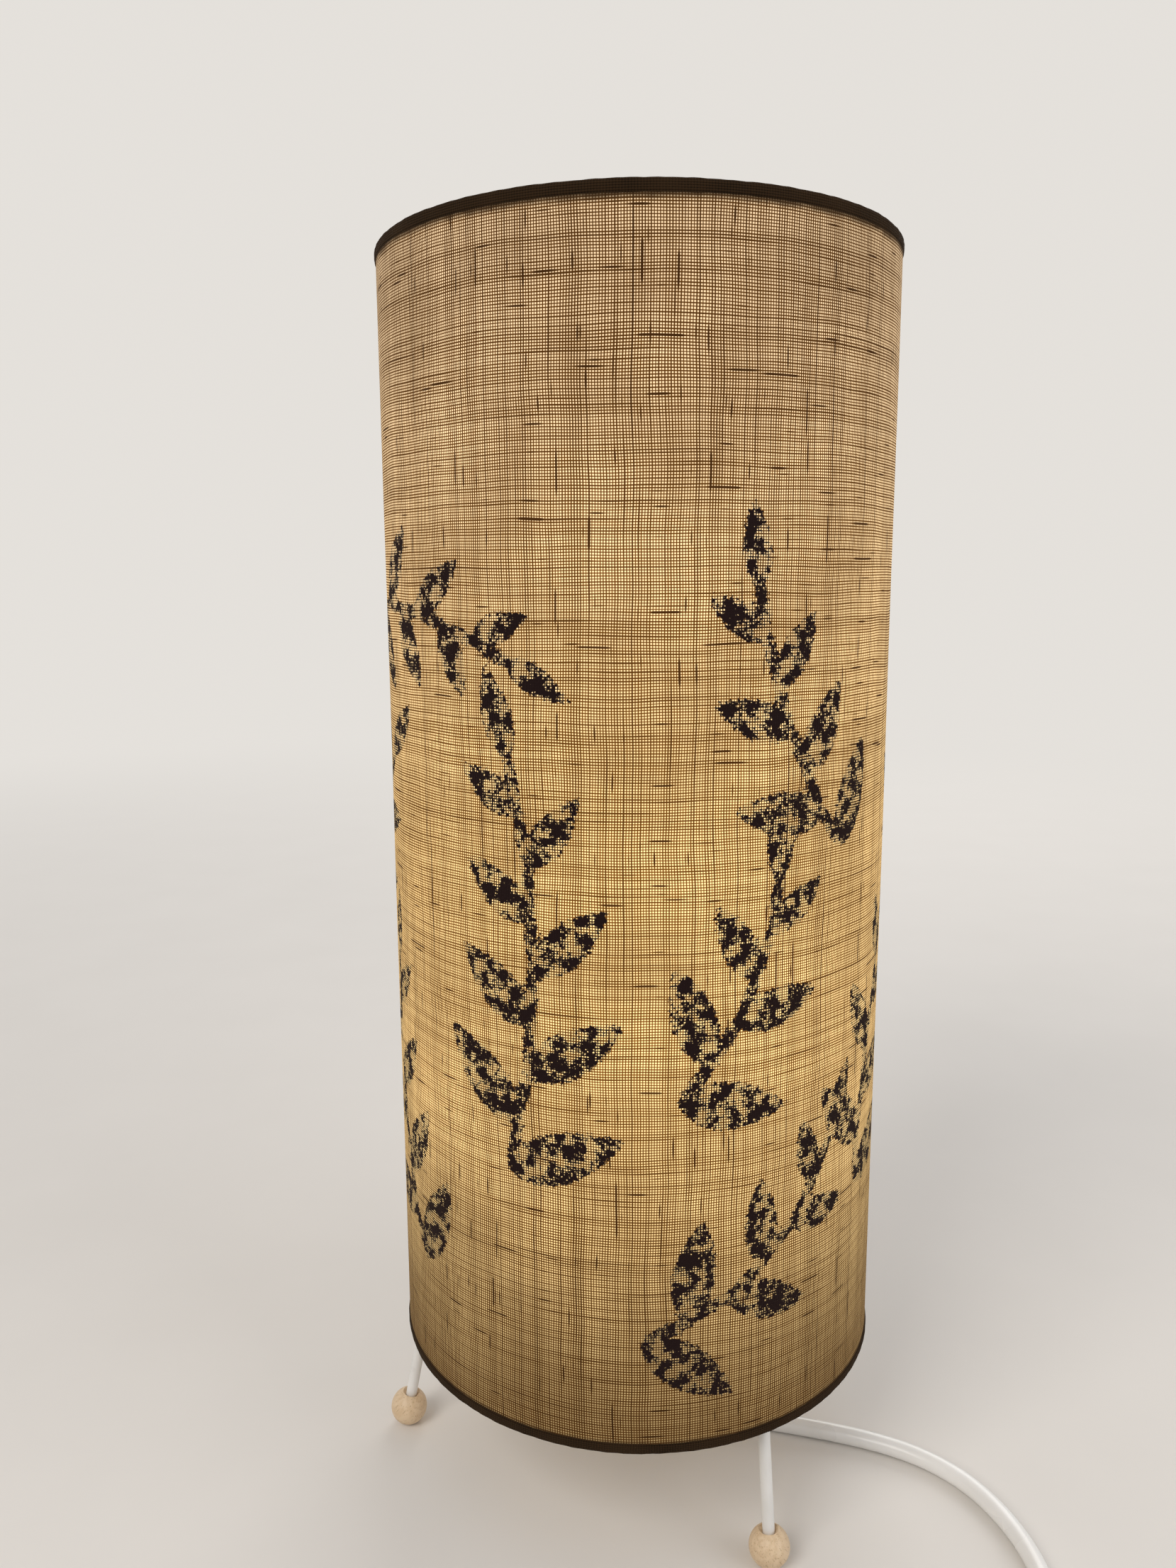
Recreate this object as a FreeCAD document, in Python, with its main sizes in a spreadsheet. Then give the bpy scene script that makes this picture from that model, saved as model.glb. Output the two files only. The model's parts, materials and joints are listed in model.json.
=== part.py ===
import FreeCAD, Part

import math
import os

import Sketcher

# A table lamp: a tall linen drum shade on a stand of three bent wire legs with ball feet.
# The origin is on the table under the shade's axis, +Z is up, the seam of the shade is at the back (+Y).
# All lengths are millimetres and all angles degrees.

Vector = FreeCAD.Vector
UP = Vector(0, 0, 1)

sizes = {
    # shade
    "shade_diameter": 160,
    "shade_height": 350,
    "shade_rim": 47,
    "linen_thickness": 0.6,
    "liner_thickness": 0.35,
    "ring_wire": 3,
    "hem_proud": 0.15,
    "seam_width": 10,
    "fitter_wire": 2.2,
    "fitter_inset": 1.85,
    "fitter_bend": 5,
    "fitter_first_arm": -56,
    "collar_gap": 1.2,
    "collar_width": 10,
    "collar_thickness": 1.2,
    "arm_gap": 2.5,
    # stand
    "leg_wire": 3.8,
    "leg_bend": 7,
    "leg_corner": 73.3,
    "leg_rise": 3.5,
    "left_foot_radius": 82,
    "front_foot_radius": 78,
    "rear_foot_radius": 80,
    "left_foot_angle": -176,
    "front_foot_angle": -58,
    "rear_foot_angle": 62,
    "foot_diameter": 12.7,
    "foot_flat": 0.4,
    "foot_hole_past": 1.8,
    "foot_mouth": 2.6,
    "hub_diameter": 36,
    "hub_thickness": 6,
    "hub_socket": 8,
    "socket_gap": 0.05,
    # nipple and what is screwed on it
    "nipple_diameter": 10,
    "nipple_bore": 8,
    "nipple_below": 6,
    "nipple_above": 8,
    "nipple_gap": 0.15,
    "washer_diameter": 18,
    "washer_thickness": 1,
    "nut_flats": 14,
    "nut_height": 3,
    "bush_flange": 1.5,
    "bush_diameter": 14,
    "bush_sleeve": 6,
    "bush_gap": 0.1,
    # lampholder
    "holder_diameter": 39.6,
    "holder_wall": 2.4,
    "cap_wall": 1.8,
    "cap_height": 19,
    "cap_neck": 17,
    "cap_floor": 4,
    "cap_shoulder": 12,
    "skirt_below_flange": 4.5,
    "flange_diameter": 47,
    "flange_thickness": 2.5,
    "skirt_above_flange": 22.5,
    "insert_thickness": 9,
    "insert_drop": 4.5,
    "insert_gap": 0.2,
    "contact_well": 9,
    "shell_gap": 0.4,
    "shell_wall": 0.4,
    "shell_rim_hole": 18,
    "tongue_width": 4,
    "tongue_thickness": 1.2,
    "clamp_ring_diameter": 56,
    "clamp_ring_height": 6,
    "clamp_ring_plate": 2,
    "clamp_ring_wall": 2.5,
    "clamp_ring_gap": 0.2,
    "terminal_screw": 3,
    "terminal_screw_length": 6,
    "terminal_place": 11,
    "grub_screw": 3,
    "grub_screw_length": 3,
    # bulb
    "bulb_diameter": 60,
    "bulb_length": 104,
    "bulb_wall": 0.8,
    "bulb_neck": 31,
    "bulb_neck_height": 33,
    "bulb_neck_curve": 52.3,
    "bulb_tangent": 35,
    "bulb_cap_diameter": 26.4,
    "bulb_cap_height": 22,
    "bulb_cap_wall": 0.3,
    "bulb_contact": 9,
    "bulb_contact_height": 1.4,
    "bulb_insulator_height": 3,
    "seat_gap": 0.2,
    "stem_tube": 8,
    "stem_height": 25,
    "stem_rod": 2.4,
    "filament_diameter": 1.8,
    "filament_length": 32,
    "filament_circle": 16,
    "star_wire": 0.7,
    "driver_height": 12,
    "driver_thickness": 1.2,
    # cord, coil and tie
    "cord_diameter": 6,
    "cord_in_lamp": 20,
    "wire_diameter": 1.8,
    "coil_across": 20.4,
    "coil_along": -180.4,
    "coil_start_angle": -30,
    "coil_start_radius": 46,
    "coil_pitch": 6.5,
    "coil_lift": 1,
    "tie_width": 4,
    "tie_thickness": 0.8,
    "tie_slack": 0.3,
    "tie_angle": -100,
    # in-line switch
    "switch_across": 96.49,
    "switch_along": -140.61,
    "switch_length": 56,
    "switch_width": 27,
    "switch_height": 17,
    "switch_split": 7,
    "switch_corner": 8,
    "switch_edge": 2,
    "switch_wall": 2,
    "switch_floor": 1.6,
    "cord_hole_gap": 0.2,
    "rocker_radius": 11.3,
    "rocker_width": 14,
    "rocker_gap": 0.3,
    "rocker_pivot": 12.5,
    "rocker_tilt": 8,
    "rocker_low_angle": 8,
    "rocker_high_angle": 32,
    "rocker_middle": 5.1,
    "rocker_underside": 1,
    "rocker_foot": 6.4,
    "rocker_foot_drop": 2.5,
    "pin_diameter": 2,
    "pin_gap": 0.05,
    "lug_width": 6,
    "lug_thickness": 2,
    "lug_gap": 0.6,
    "bridge_length": 16,
    "bridge_width": 5,
    "bridge_thickness": 0.8,
    "contact_width": 4,
    "contact_gap": 0.4,
    "clamp_place": 23.7,
    "clamp_width": 3.6,
    "clamp_length": 16,
    "clamp_thickness": 1.6,
    "clamp_post": 4.4,
    "clamp_post_place": 5.7,
    "clamp_screw": 2,
    "housing_post": 5.5,
    "housing_post_along": 16.5,
    "housing_post_aside": 8.2,
    "housing_screw": 2.5,
    "housing_screw_head": 4.4,
    # plug
    "plug_across": 11.53,
    "plug_along": -127.49,
    "plug_turn": 16,
    "plug_relief": 20,
    "plug_relief_end": 8.4,
    "plug_relief_root": 11.5,
    "plug_body": 34,
    "plug_taper": 18,
    "plug_neck": 14,
    "plug_width": 35.2,
    "plug_height": 14,
    "plug_edge": 3,
    "cord_in_plug": 6.2,
    "pin_length": 19,
    "pin_across": 4,
    "pin_spacing": 18.6,
    "pin_root": 6,
    "pin_root_across": 3.6,
}

doc = FreeCAD.newDocument("table_lamp")
sheet = doc.addObject("Spreadsheet::Sheet", "Sizes")
for row, (alias, value) in enumerate(sizes.items(), start=1):
    sheet.set(f"A{row}", alias)
    sheet.set(f"B{row}", str(value))
    sheet.setAlias(f"B{row}", alias)
doc.recompute()

kept = []


def number(text):
    """The value of an expression, as a plain number."""
    value = sheet.evalExpression(str(text))
    return float(getattr(value, "Value", value))


def keep(piece, label):
    """Names a finished piece, which puts it among the parts that are written."""
    piece.Label = label
    kept.append(piece)
    return piece


def bind(piece, **properties):
    """Ties properties of a piece to expressions on the sheet."""
    for name, text in properties.items():
        piece.setExpression(name, str(text))
    return piece


def place(piece, x=0, y=0, z=0, turn=0, about=UP):
    """Moves a piece to x, y, z and turns it, by expressions."""
    base = Vector(number(x), number(y), number(z))
    piece.Placement = FreeCAD.Placement(base, FreeCAD.Rotation(about, number(turn)))
    for axis, text in (("x", x), ("y", y), ("z", z)):
        if text != 0:
            piece.setExpression(f"Placement.Base.{axis}", str(text))
    if isinstance(turn, str):
        piece.setExpression("Placement.Rotation.Angle", f"({turn}) * 1")
    return piece


def arc_between(p, q, radius, side):
    """The circular arc from p to q that turns left (side 1) or right (side -1)."""
    chord = q - p
    normal = Vector(-chord.y, chord.x, 0).normalize() * side
    reach = math.sqrt(max(radius ** 2 - (chord.Length / 2) ** 2, 0))
    centre = (p + q) / 2 + normal * reach
    low, high = (p, q) if side > 0 else (q, p)
    from_angle = math.atan2(low.y - centre.y, low.x - centre.x)
    to_angle = math.atan2(high.y - centre.y, high.x - centre.x)
    if to_angle < from_angle:
        to_angle += 2 * math.pi
    return Part.ArcOfCircle(Part.Circle(centre, UP, radius), from_angle, to_angle)


def draw(sketch, start, steps, closed=True):
    """Draws lines and arcs from corner to corner, each corner held by its own expressions.

    A step is (x, y) for a line or (x, y, radius, side) for an arc that turns left (1) or right (-1).
    A closed outline ends with a line to its start, unless its last step ends there.
    """
    def hold(kind, geometry, point, text):
        index = sketch.addConstraint(Sketcher.Constraint(kind, -1, 1, geometry, point, number(text)))
        sketch.setExpression(f"Constraints[{index}]", str(text))

    if closed and steps[-1][:2] != start:
        steps = list(steps) + [start]
    here = start
    ends = []
    for step in steps:
        p = Vector(number(here[0]), number(here[1]), 0)
        q = Vector(number(step[0]), number(step[1]), 0)
        if len(step) == 2:
            geometry = sketch.addGeometry(Part.LineSegment(p, q))
            begin, end = 1, 2
        else:
            geometry = sketch.addGeometry(arc_between(p, q, number(step[2]), step[3]))
            begin, end = (1, 2) if step[3] > 0 else (2, 1)
            index = sketch.addConstraint(Sketcher.Constraint("Radius", geometry, number(step[2])))
            sketch.setExpression(f"Constraints[{index}]", str(step[2]))
        hold("DistanceX", geometry, begin, here[0])
        hold("DistanceY", geometry, begin, here[1])
        ends.append((geometry, begin, end))
        here = step
    for before, after in zip(ends, ends[1:]):
        sketch.addConstraint(Sketcher.Constraint("Coincident", before[0], before[2], after[0], after[1]))
    if closed:
        sketch.addConstraint(
            Sketcher.Constraint("Coincident", ends[-1][0], ends[-1][2], ends[0][0], ends[0][1]))
    else:
        hold("DistanceX", ends[-1][0], ends[-1][2], here[0])
        hold("DistanceY", ends[-1][0], ends[-1][2], here[1])


def sketch_on(owner, role, name, offset=0):
    """A new sketch on one of a body's own origin planes, moved along its normal by offset."""
    sketch = owner.newObject("Sketcher::SketchObject", name)
    plane = [item for item in owner.Origin.OriginFeatures if item.Role == role][0]
    sketch.AttachmentSupport = (plane, [""])
    sketch.MapMode = "FlatFace"
    if offset != 0:
        sketch.AttachmentOffset = FreeCAD.Placement(Vector(0, 0, number(offset)), FreeCAD.Rotation())
        sketch.setExpression("AttachmentOffset.Base.z", str(offset))
    return sketch


def lathe(name, start, steps):
    """A turned piece: an outline of radius and height spun about the vertical axis."""
    owner = doc.addObject("PartDesign::Body", name)
    sketch = sketch_on(owner, "XZ_Plane", name + "_outline")
    draw(sketch, start, steps)
    turned = owner.newObject("PartDesign::Revolution", name + "_turned")
    turned.Profile = sketch
    turned.ReferenceAxis = (sketch, ["V_Axis"])
    turned.Angle = 360
    return owner


def slab(name, start, steps, low, high, role="XY_Plane"):
    """A flat piece: an outline padded from low to high along its plane's normal."""
    owner = doc.addObject("PartDesign::Body", name)
    sketch = sketch_on(owner, role, name + "_outline", low)
    draw(sketch, start, steps)
    pad = owner.newObject("PartDesign::Pad", name + "_pad")
    pad.Profile = sketch
    bind(pad, Length=f"({high}) - ({low})")
    return owner


def rounded_slab(name, length, width, corner, low, high):
    """A slab with rounded corners, centred on the vertical axis."""
    right = f"({length}) / 2"
    back = f"({width}) / 2"
    in_x = f"({length}) / 2 - ({corner})"
    in_y = f"({width}) / 2 - ({corner})"
    start = (f"-({in_x})", f"-{back}")
    steps = [
        (in_x, f"-{back}"),
        (right, f"-({in_y})", corner, 1),
        (right, in_y),
        (in_x, back, corner, 1),
        (f"-({in_x})", back),
        (f"-{right}", in_y, corner, 1),
        (f"-{right}", f"-({in_y})"),
        (f"-({in_x})", f"-{back}", corner, 1),
    ]
    return slab(name, start, steps, low, high)


def rod(name, radius, length, x=0, y=0, z=0, turn=0, about=UP):
    piece = doc.addObject("Part::Cylinder", name)
    bind(piece, Radius=radius, Height=length)
    return place(piece, x, y, z, turn, about)


def block(name, length, width, height, x=0, y=0, z=0):
    """A box centred on x and y that stands on z."""
    piece = doc.addObject("Part::Box", name)
    bind(piece, Length=length, Width=width, Height=height)
    return place(piece, f"({x}) - ({length}) / 2", f"({y}) - ({width}) / 2", z)


def ring(name, circle_radius, wire_radius, height):
    piece = doc.addObject("Part::Torus", name)
    bind(piece, Radius1=circle_radius, Radius2=wire_radius)
    return place(piece, z=height)


def fuse(name, *pieces):
    piece = doc.addObject("Part::MultiFuse", name)
    piece.Shapes = list(pieces)
    return piece


def cut(name, base, *tools):
    piece = doc.addObject("Part::Cut", name)
    piece.Base = base
    piece.Tool = tools[0] if len(tools) == 1 else fuse(name + "_tools", *tools)
    return piece


def group(name, *pieces):
    """Separate solids that share one node."""
    piece = doc.addObject("Part::Compound", name)
    piece.Links = list(pieces)
    return piece


def bent_wire(name, wire_radius, path_start, path_steps, turn=0):
    """A round wire that follows lines and arcs in the upright plane through the axis at an angle of turn."""
    owner = doc.addObject("PartDesign::Body", name)
    path = sketch_on(owner, "XZ_Plane", name + "_path")
    draw(path, path_start, path_steps, closed=False)
    section = sketch_on(owner, "YZ_Plane", name + "_section", path_start[0])
    centre = Vector(0, number(path_start[1]), 0)
    circle = section.addGeometry(Part.Circle(centre, UP, number(wire_radius)))
    held = section.addConstraint(Sketcher.Constraint("Radius", circle, number(wire_radius)))
    section.setExpression(f"Constraints[{held}]", str(wire_radius))
    held = section.addConstraint(Sketcher.Constraint("DistanceY", -1, 1, circle, 3, centre.y))
    section.setExpression(f"Constraints[{held}]", str(path_start[1]))
    section.addConstraint(Sketcher.Constraint("DistanceX", -1, 1, circle, 3, 0))
    doc.recompute()
    pipe = owner.newObject("PartDesign::AdditivePipe", name + "_pipe")
    pipe.Profile = section
    pipe.Spine = (path, [f"Edge{index + 1}" for index in range(len(path_steps))])
    return place(owner, turn=turn)


# Heights and radii that several pieces share, worked out from the sheet.

shade_radius = "Sizes.shade_diameter / 2"
hem_radius = "(Sizes.ring_wire / 2 + Sizes.linen_thickness)"
hem_circle = f"({shade_radius} + Sizes.hem_proud - {hem_radius})"
low_ring = f"(Sizes.shade_rim + {hem_radius})"
high_ring = f"(Sizes.shade_rim + Sizes.shade_height - {hem_radius})"
liner_outside = f"({shade_radius} - Sizes.linen_thickness)"
liner_inside = f"({liner_outside} - Sizes.liner_thickness)"

arm_height = "(Sizes.shade_rim + Sizes.leg_rise)"
hub_low = f"({arm_height} - Sizes.hub_thickness / 2)"
hub_high = f"({arm_height} + Sizes.hub_thickness / 2)"
ball_height = "(Sizes.foot_diameter / 2 - Sizes.foot_flat)"
leg_start = "(Sizes.hub_diameter / 2 - Sizes.hub_socket)"

washer_low = f"({hub_low} - Sizes.washer_thickness)"
nut_low = f"({washer_low} - Sizes.nut_height)"
nipple_low = f"({hub_low} - Sizes.nipple_below)"
nipple_high = f"({hub_high} + Sizes.nipple_above)"
nipple_radius = "Sizes.nipple_diameter / 2"
cord_exit = f"({nipple_low} - Sizes.bush_flange)"
cord_radius = "(Sizes.cord_diameter / 2)"

cap_high = f"({hub_high} + Sizes.cap_height)"
flange_low = f"({cap_high} + Sizes.skirt_below_flange)"
flange_high = f"({flange_low} + Sizes.flange_thickness)"
holder_high = f"({flange_high} + Sizes.skirt_above_flange)"
holder_radius = "(Sizes.holder_diameter / 2)"
holder_inside = f"({holder_radius} - Sizes.holder_wall)"
insert_low = f"({cap_high} - Sizes.insert_drop)"
insert_high = f"({insert_low} + Sizes.insert_thickness)"
collar_high = f"({flange_high} + Sizes.collar_thickness)"
collar_hole = f"({holder_radius} + Sizes.collar_gap)"

bulb_low = f"({insert_high} + Sizes.tongue_thickness + Sizes.seat_gap)"
bulb_cap_low = f"({bulb_low} + Sizes.bulb_contact_height + Sizes.bulb_insulator_height)"
bulb_cap_high = f"({bulb_cap_low} + Sizes.bulb_cap_height)"
bulb_centre = f"({bulb_low} + Sizes.bulb_length - Sizes.bulb_diameter / 2)"
bulb_cap_inside = "(Sizes.bulb_cap_diameter / 2 - Sizes.bulb_cap_wall)"


# The shade: linen over a clear liner, a wire ring rolled into each hem.

def make_fitter():
    """Bottom ring, three cranked arms and collar, welded into one piece."""
    wire = "(Sizes.fitter_wire / 2)"
    upright = f"({hem_circle} + {hem_radius} - Sizes.hem_proud - Sizes.linen_thickness - Sizes.fitter_inset)"
    arm = f"({collar_high} - {wire})"
    inner = "(Sizes.flange_diameter / 2 + Sizes.arm_gap)"
    bottom_ring = ring("fitter_ring", hem_circle, "Sizes.ring_wire / 2", low_ring)
    collar = lathe("fitter_collar", (collar_hole, flange_high), [
        (f"{collar_hole} + Sizes.collar_width", flange_high),
        (f"{collar_hole} + Sizes.collar_width", collar_high),
        (collar_hole, collar_high),
    ])
    arms = []
    for index in range(3):
        arms.append(bent_wire(
            f"fitter_arm_{index + 1}", wire, (inner, arm), [
                (f"{upright} - Sizes.fitter_bend", arm),
                (upright, f"{arm} - Sizes.fitter_bend", "Sizes.fitter_bend", -1),
                (upright, low_ring),
            ], turn=f"Sizes.fitter_first_arm + {120 * index}"))
    notches = [rod(f"hem_notch_{index + 1}", f"{wire} + Sizes.socket_gap * 2", f"{hem_radius} * 2",
                   f"{upright} * cos(Sizes.fitter_first_arm + {120 * index})",
                   f"{upright} * sin(Sizes.fitter_first_arm + {120 * index})",
                   low_ring) for index in range(3)]
    keep(fuse("fitter", bottom_ring, collar, *arms), "shade_fitter")
    return notches


def make_linen(notches):
    wall_low = f"({low_ring} + {hem_radius} / 2)"
    wall_high = f"({high_ring} - {hem_radius} / 2)"
    tube = lathe("linen_tube", (liner_outside, wall_low), [
        (shade_radius, wall_low),
        (shade_radius, wall_high),
        (liner_outside, wall_high),
    ])
    rolls = []
    hollows = []
    for name, height in (("low", low_ring), ("high", high_ring)):
        rolls.append(ring(f"hem_{name}", hem_circle, hem_radius, height))
        hollows.append(ring(f"hem_{name}_hollow", hem_circle, "Sizes.ring_wire / 2", height))
    lap = lathe("seam_lap", (f"{shade_radius} - Sizes.linen_thickness / 2", f"{low_ring} + {hem_radius} * 1.5"), [
        (f"{shade_radius} + Sizes.linen_thickness", f"{low_ring} + {hem_radius} * 1.5"),
        (f"{shade_radius} + Sizes.linen_thickness", f"{high_ring} - {hem_radius} * 1.5"),
        (f"{shade_radius} - Sizes.linen_thickness / 2", f"{high_ring} - {hem_radius} * 1.5"),
    ])
    lap_angle = "(Sizes.seam_width * 360 / (3.14159 * Sizes.shade_diameter))"
    lap.Group[-1].setExpression("Angle", lap_angle)
    place(lap, turn=f"90 - {lap_angle} / 2")
    cloth = fuse("linen_cloth", tube, lap, *rolls)
    keep(cut("linen", cloth, *hollows, *notches), "shade_linen")


def make_liner():
    roll_top = f"{low_ring} + {hem_radius}"
    roll_bottom = f"{high_ring} - {hem_radius}"
    keep(lathe("liner", (liner_inside, roll_top), [
        (liner_outside, roll_top),
        (liner_outside, roll_bottom),
        (liner_inside, roll_bottom),
    ]), "shade_liner")
    keep(ring("top_ring", hem_circle, "Sizes.ring_wire / 2", high_ring), "shade_top_ring")


# The stand: a hub with three bent legs, each in a ball foot.

def leg_path(foot_radius):
    lean = f"atan(({foot_radius} - Sizes.leg_corner) / ({arm_height} - {ball_height}))"
    tangent = f"(Sizes.leg_bend * tan((90 deg - {lean}) / 2))"
    start = (leg_start, arm_height)
    steps = [
        (f"Sizes.leg_corner - {tangent}", arm_height),
        (f"Sizes.leg_corner + {tangent} * sin({lean})", f"{arm_height} - {tangent} * cos({lean})",
         "Sizes.leg_bend", -1),
        (f"{foot_radius} + Sizes.foot_hole_past * sin({lean})",
         f"{ball_height} - Sizes.foot_hole_past * cos({lean})"),
    ]
    return start, steps, lean


def make_leg(name):
    """One leg, its foot, and the space that the leg needs in the hub."""
    foot_radius = f"Sizes.{name}_foot_radius"
    angle = f"Sizes.{name}_foot_angle"
    start, steps, lean = leg_path(foot_radius)
    keep(bent_wire(f"{name}_leg", "Sizes.leg_wire / 2", start, steps, angle), f"{name}_leg")
    room = bent_wire(f"{name}_leg_room", "Sizes.leg_wire / 2 + Sizes.socket_gap", start, steps, angle)
    ball = doc.addObject("Part::Sphere", f"{name}_ball")
    bind(ball, Radius="Sizes.foot_diameter / 2")
    place(ball, foot_radius, 0, ball_height)
    below = block(f"{name}_below", "Sizes.foot_diameter * 2", "Sizes.foot_diameter * 2", "Sizes.foot_diameter",
                  foot_radius, 0, "-Sizes.foot_diameter")
    hole = rod(f"{name}_hole", "Sizes.leg_wire / 2 + Sizes.socket_gap", "Sizes.foot_diameter",
               f"{foot_radius} + Sizes.foot_hole_past * sin({lean})", 0,
               f"{ball_height} - Sizes.foot_hole_past * cos({lean})", f"-{lean}", Vector(0, 1, 0))
    mouth = doc.addObject("Part::Cone", f"{name}_mouth")
    bind(mouth, Radius1="Sizes.leg_wire / 2", Radius2="Sizes.leg_wire / 2 + Sizes.foot_mouth",
         Height="Sizes.foot_mouth")
    reach = "(Sizes.foot_diameter / 2 - Sizes.foot_mouth * 0.75)"
    place(mouth, f"{foot_radius} - {reach} * sin({lean})", 0, f"{ball_height} + {reach} * cos({lean})",
          f"-{lean}", Vector(0, 1, 0))
    foot = cut(f"{name}_foot", ball, below, hole, mouth)
    keep(place(foot, turn=angle), f"{name}_foot")
    return room


def make_stand():
    rooms = [make_leg(name) for name in ("left", "front", "rear")]
    bore = f"({nipple_radius} + Sizes.nipple_gap)"
    edge = "Sizes.hub_thickness / 8"
    disc = lathe("hub_disc", (bore, hub_low), [
        (f"Sizes.hub_diameter / 2 - {edge}", hub_low),
        ("Sizes.hub_diameter / 2", f"{hub_low} + {edge}"),
        ("Sizes.hub_diameter / 2", f"{hub_high} - {edge}"),
        (f"Sizes.hub_diameter / 2 - {edge}", hub_high),
        (bore, hub_high),
    ])
    keep(cut("hub_cut", disc, *rooms), "hub")


def make_nipple():
    keep(lathe("nipple", ("Sizes.nipple_bore / 2", nipple_low), [
        (nipple_radius, nipple_low),
        (nipple_radius, nipple_high),
        ("Sizes.nipple_bore / 2", nipple_high),
    ]), "hollow_nipple")
    keep(lathe("washer", (f"{nipple_radius} + Sizes.nipple_gap", washer_low), [
        ("Sizes.washer_diameter / 2", washer_low),
        ("Sizes.washer_diameter / 2", hub_low),
        (f"{nipple_radius} + Sizes.nipple_gap", hub_low),
    ]), "nipple_washer")
    corner = "Sizes.nut_flats / 2 / cos(30)"
    corners = [(f"{corner} * cos({60 * k})", f"{corner} * sin({60 * k})") for k in range(6)]
    hexagon = slab("nut_blank", corners[0], corners[1:], nut_low, washer_low)
    nut_hole = rod("nut_hole", f"{nipple_radius} + Sizes.socket_gap", "Sizes.nut_height", 0, 0, nut_low)
    keep(cut("nut", hexagon, nut_hole), "nipple_nut")
    bore = f"({cord_radius} + Sizes.bush_gap)"
    sleeve = "(Sizes.nipple_bore / 2 - Sizes.bush_gap)"
    keep(lathe("bush", (bore, cord_exit), [
        ("Sizes.bush_diameter / 2 - Sizes.bush_flange / 2", cord_exit),
        ("Sizes.bush_diameter / 2", f"{cord_exit} + Sizes.bush_flange / 2"),
        ("Sizes.bush_diameter / 2", nipple_low),
        (sleeve, nipple_low),
        (sleeve, f"{nipple_low} + Sizes.bush_sleeve"),
        (bore, f"{nipple_low} + Sizes.bush_sleeve"),
    ]), "cord_bush")


# The lampholder on the nipple, and the bulb in it.

def make_holder():
    neck = "(Sizes.cap_neck / 2)"
    hole = f"({nipple_radius} + Sizes.socket_gap)"
    shoulder = f"({hub_high} + Sizes.cap_shoulder)"
    neck_high = f"({hub_high} + Sizes.cap_floor)"
    cap = lathe("holder_cap_turned", (hole, hub_high), [
        (neck, hub_high),
        (neck, neck_high),
        (holder_radius, shoulder, "Sizes.cap_shoulder * 1.4", 1),
        (holder_radius, cap_high),
        (f"{holder_radius} - Sizes.cap_wall", cap_high),
        (f"{holder_radius} - Sizes.cap_wall", shoulder),
        (f"{neck} - Sizes.cap_wall / 2", f"{neck_high} + Sizes.cap_wall", "Sizes.cap_shoulder * 1.4", -1),
        (hole, f"{neck_high} + Sizes.cap_wall"),
    ])
    grub_hole = rod("grub_hole", "Sizes.grub_screw / 2 + Sizes.socket_gap", "Sizes.cap_neck",
                    0, 0, f"{hub_high} + Sizes.cap_floor / 2", 90, Vector(1, 0, 0))
    keep(cut("holder_cap", cap, grub_hole), "lampholder_cap")
    keep(rod("grub", "Sizes.grub_screw / 2", "Sizes.grub_screw_length",
             0, f"-{nipple_radius} - Sizes.socket_gap", f"{hub_high} + Sizes.cap_floor / 2",
             90, Vector(1, 0, 0)), "lampholder_grub_screw")
    keep(lathe("holder_body", (holder_inside, cap_high), [
        (holder_radius, cap_high),
        (holder_radius, flange_low),
        ("Sizes.flange_diameter / 2", flange_low),
        ("Sizes.flange_diameter / 2", flange_high),
        (holder_radius, flange_high),
        (holder_radius, holder_high),
        (holder_inside, holder_high),
    ]), "lampholder_body")
    block_radius = f"({holder_inside} - Sizes.insert_gap)"
    insert = lathe("insert_turned", ("Sizes.contact_well / 2", insert_low), [
        (block_radius, insert_low),
        (block_radius, insert_high),
        ("Sizes.contact_well / 2", insert_high),
    ])
    screw_holes = []
    screws = []
    for name, side in (("left", "-1"), ("right", "1")):
        screw_holes.append(rod(f"terminal_hole_{name}", "Sizes.terminal_screw / 2 + Sizes.socket_gap",
                               "Sizes.terminal_screw_length", f"{side} * Sizes.terminal_place", 0, insert_low))
        screws.append(rod(f"terminal_screw_{name}", "Sizes.terminal_screw / 2",
                          "Sizes.terminal_screw_length", f"{side} * Sizes.terminal_place", 0, insert_low))
    keep(cut("insert", insert, *screw_holes), "lampholder_insert")
    keep(group("terminal_screws_both", *screws), "terminal_screws")
    shell_radius = "(Sizes.bulb_cap_diameter / 2 + Sizes.shell_gap + Sizes.shell_wall)"
    keep(lathe("shell", ("Sizes.shell_rim_hole / 2", insert_high), [
        (shell_radius, insert_high),
        (shell_radius, f"{holder_high} - Sizes.holder_wall"),
        (f"{shell_radius} - Sizes.shell_wall", f"{holder_high} - Sizes.holder_wall"),
        (f"{shell_radius} - Sizes.shell_wall", f"{insert_high} + Sizes.shell_wall"),
        ("Sizes.shell_rim_hole / 2", f"{insert_high} + Sizes.shell_wall"),
    ]), "lampholder_shell")
    keep(block("tongue", "Sizes.shell_rim_hole * 0.9", "Sizes.tongue_width", "Sizes.tongue_thickness",
               0, 0, insert_high), "lampholder_centre_contact")
    clamp_hole = f"({holder_radius} + Sizes.clamp_ring_gap)"
    keep(lathe("clamp_ring", (clamp_hole, collar_high), [
        ("Sizes.clamp_ring_diameter / 2", collar_high),
        ("Sizes.clamp_ring_diameter / 2", f"{collar_high} + Sizes.clamp_ring_plate"),
        (f"{clamp_hole} + Sizes.clamp_ring_wall", f"{collar_high} + Sizes.clamp_ring_plate"),
        (f"{clamp_hole} + Sizes.clamp_ring_wall", f"{collar_high} + Sizes.clamp_ring_height"),
        (clamp_hole, f"{collar_high} + Sizes.clamp_ring_height"),
    ]), "shade_ring")


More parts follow.
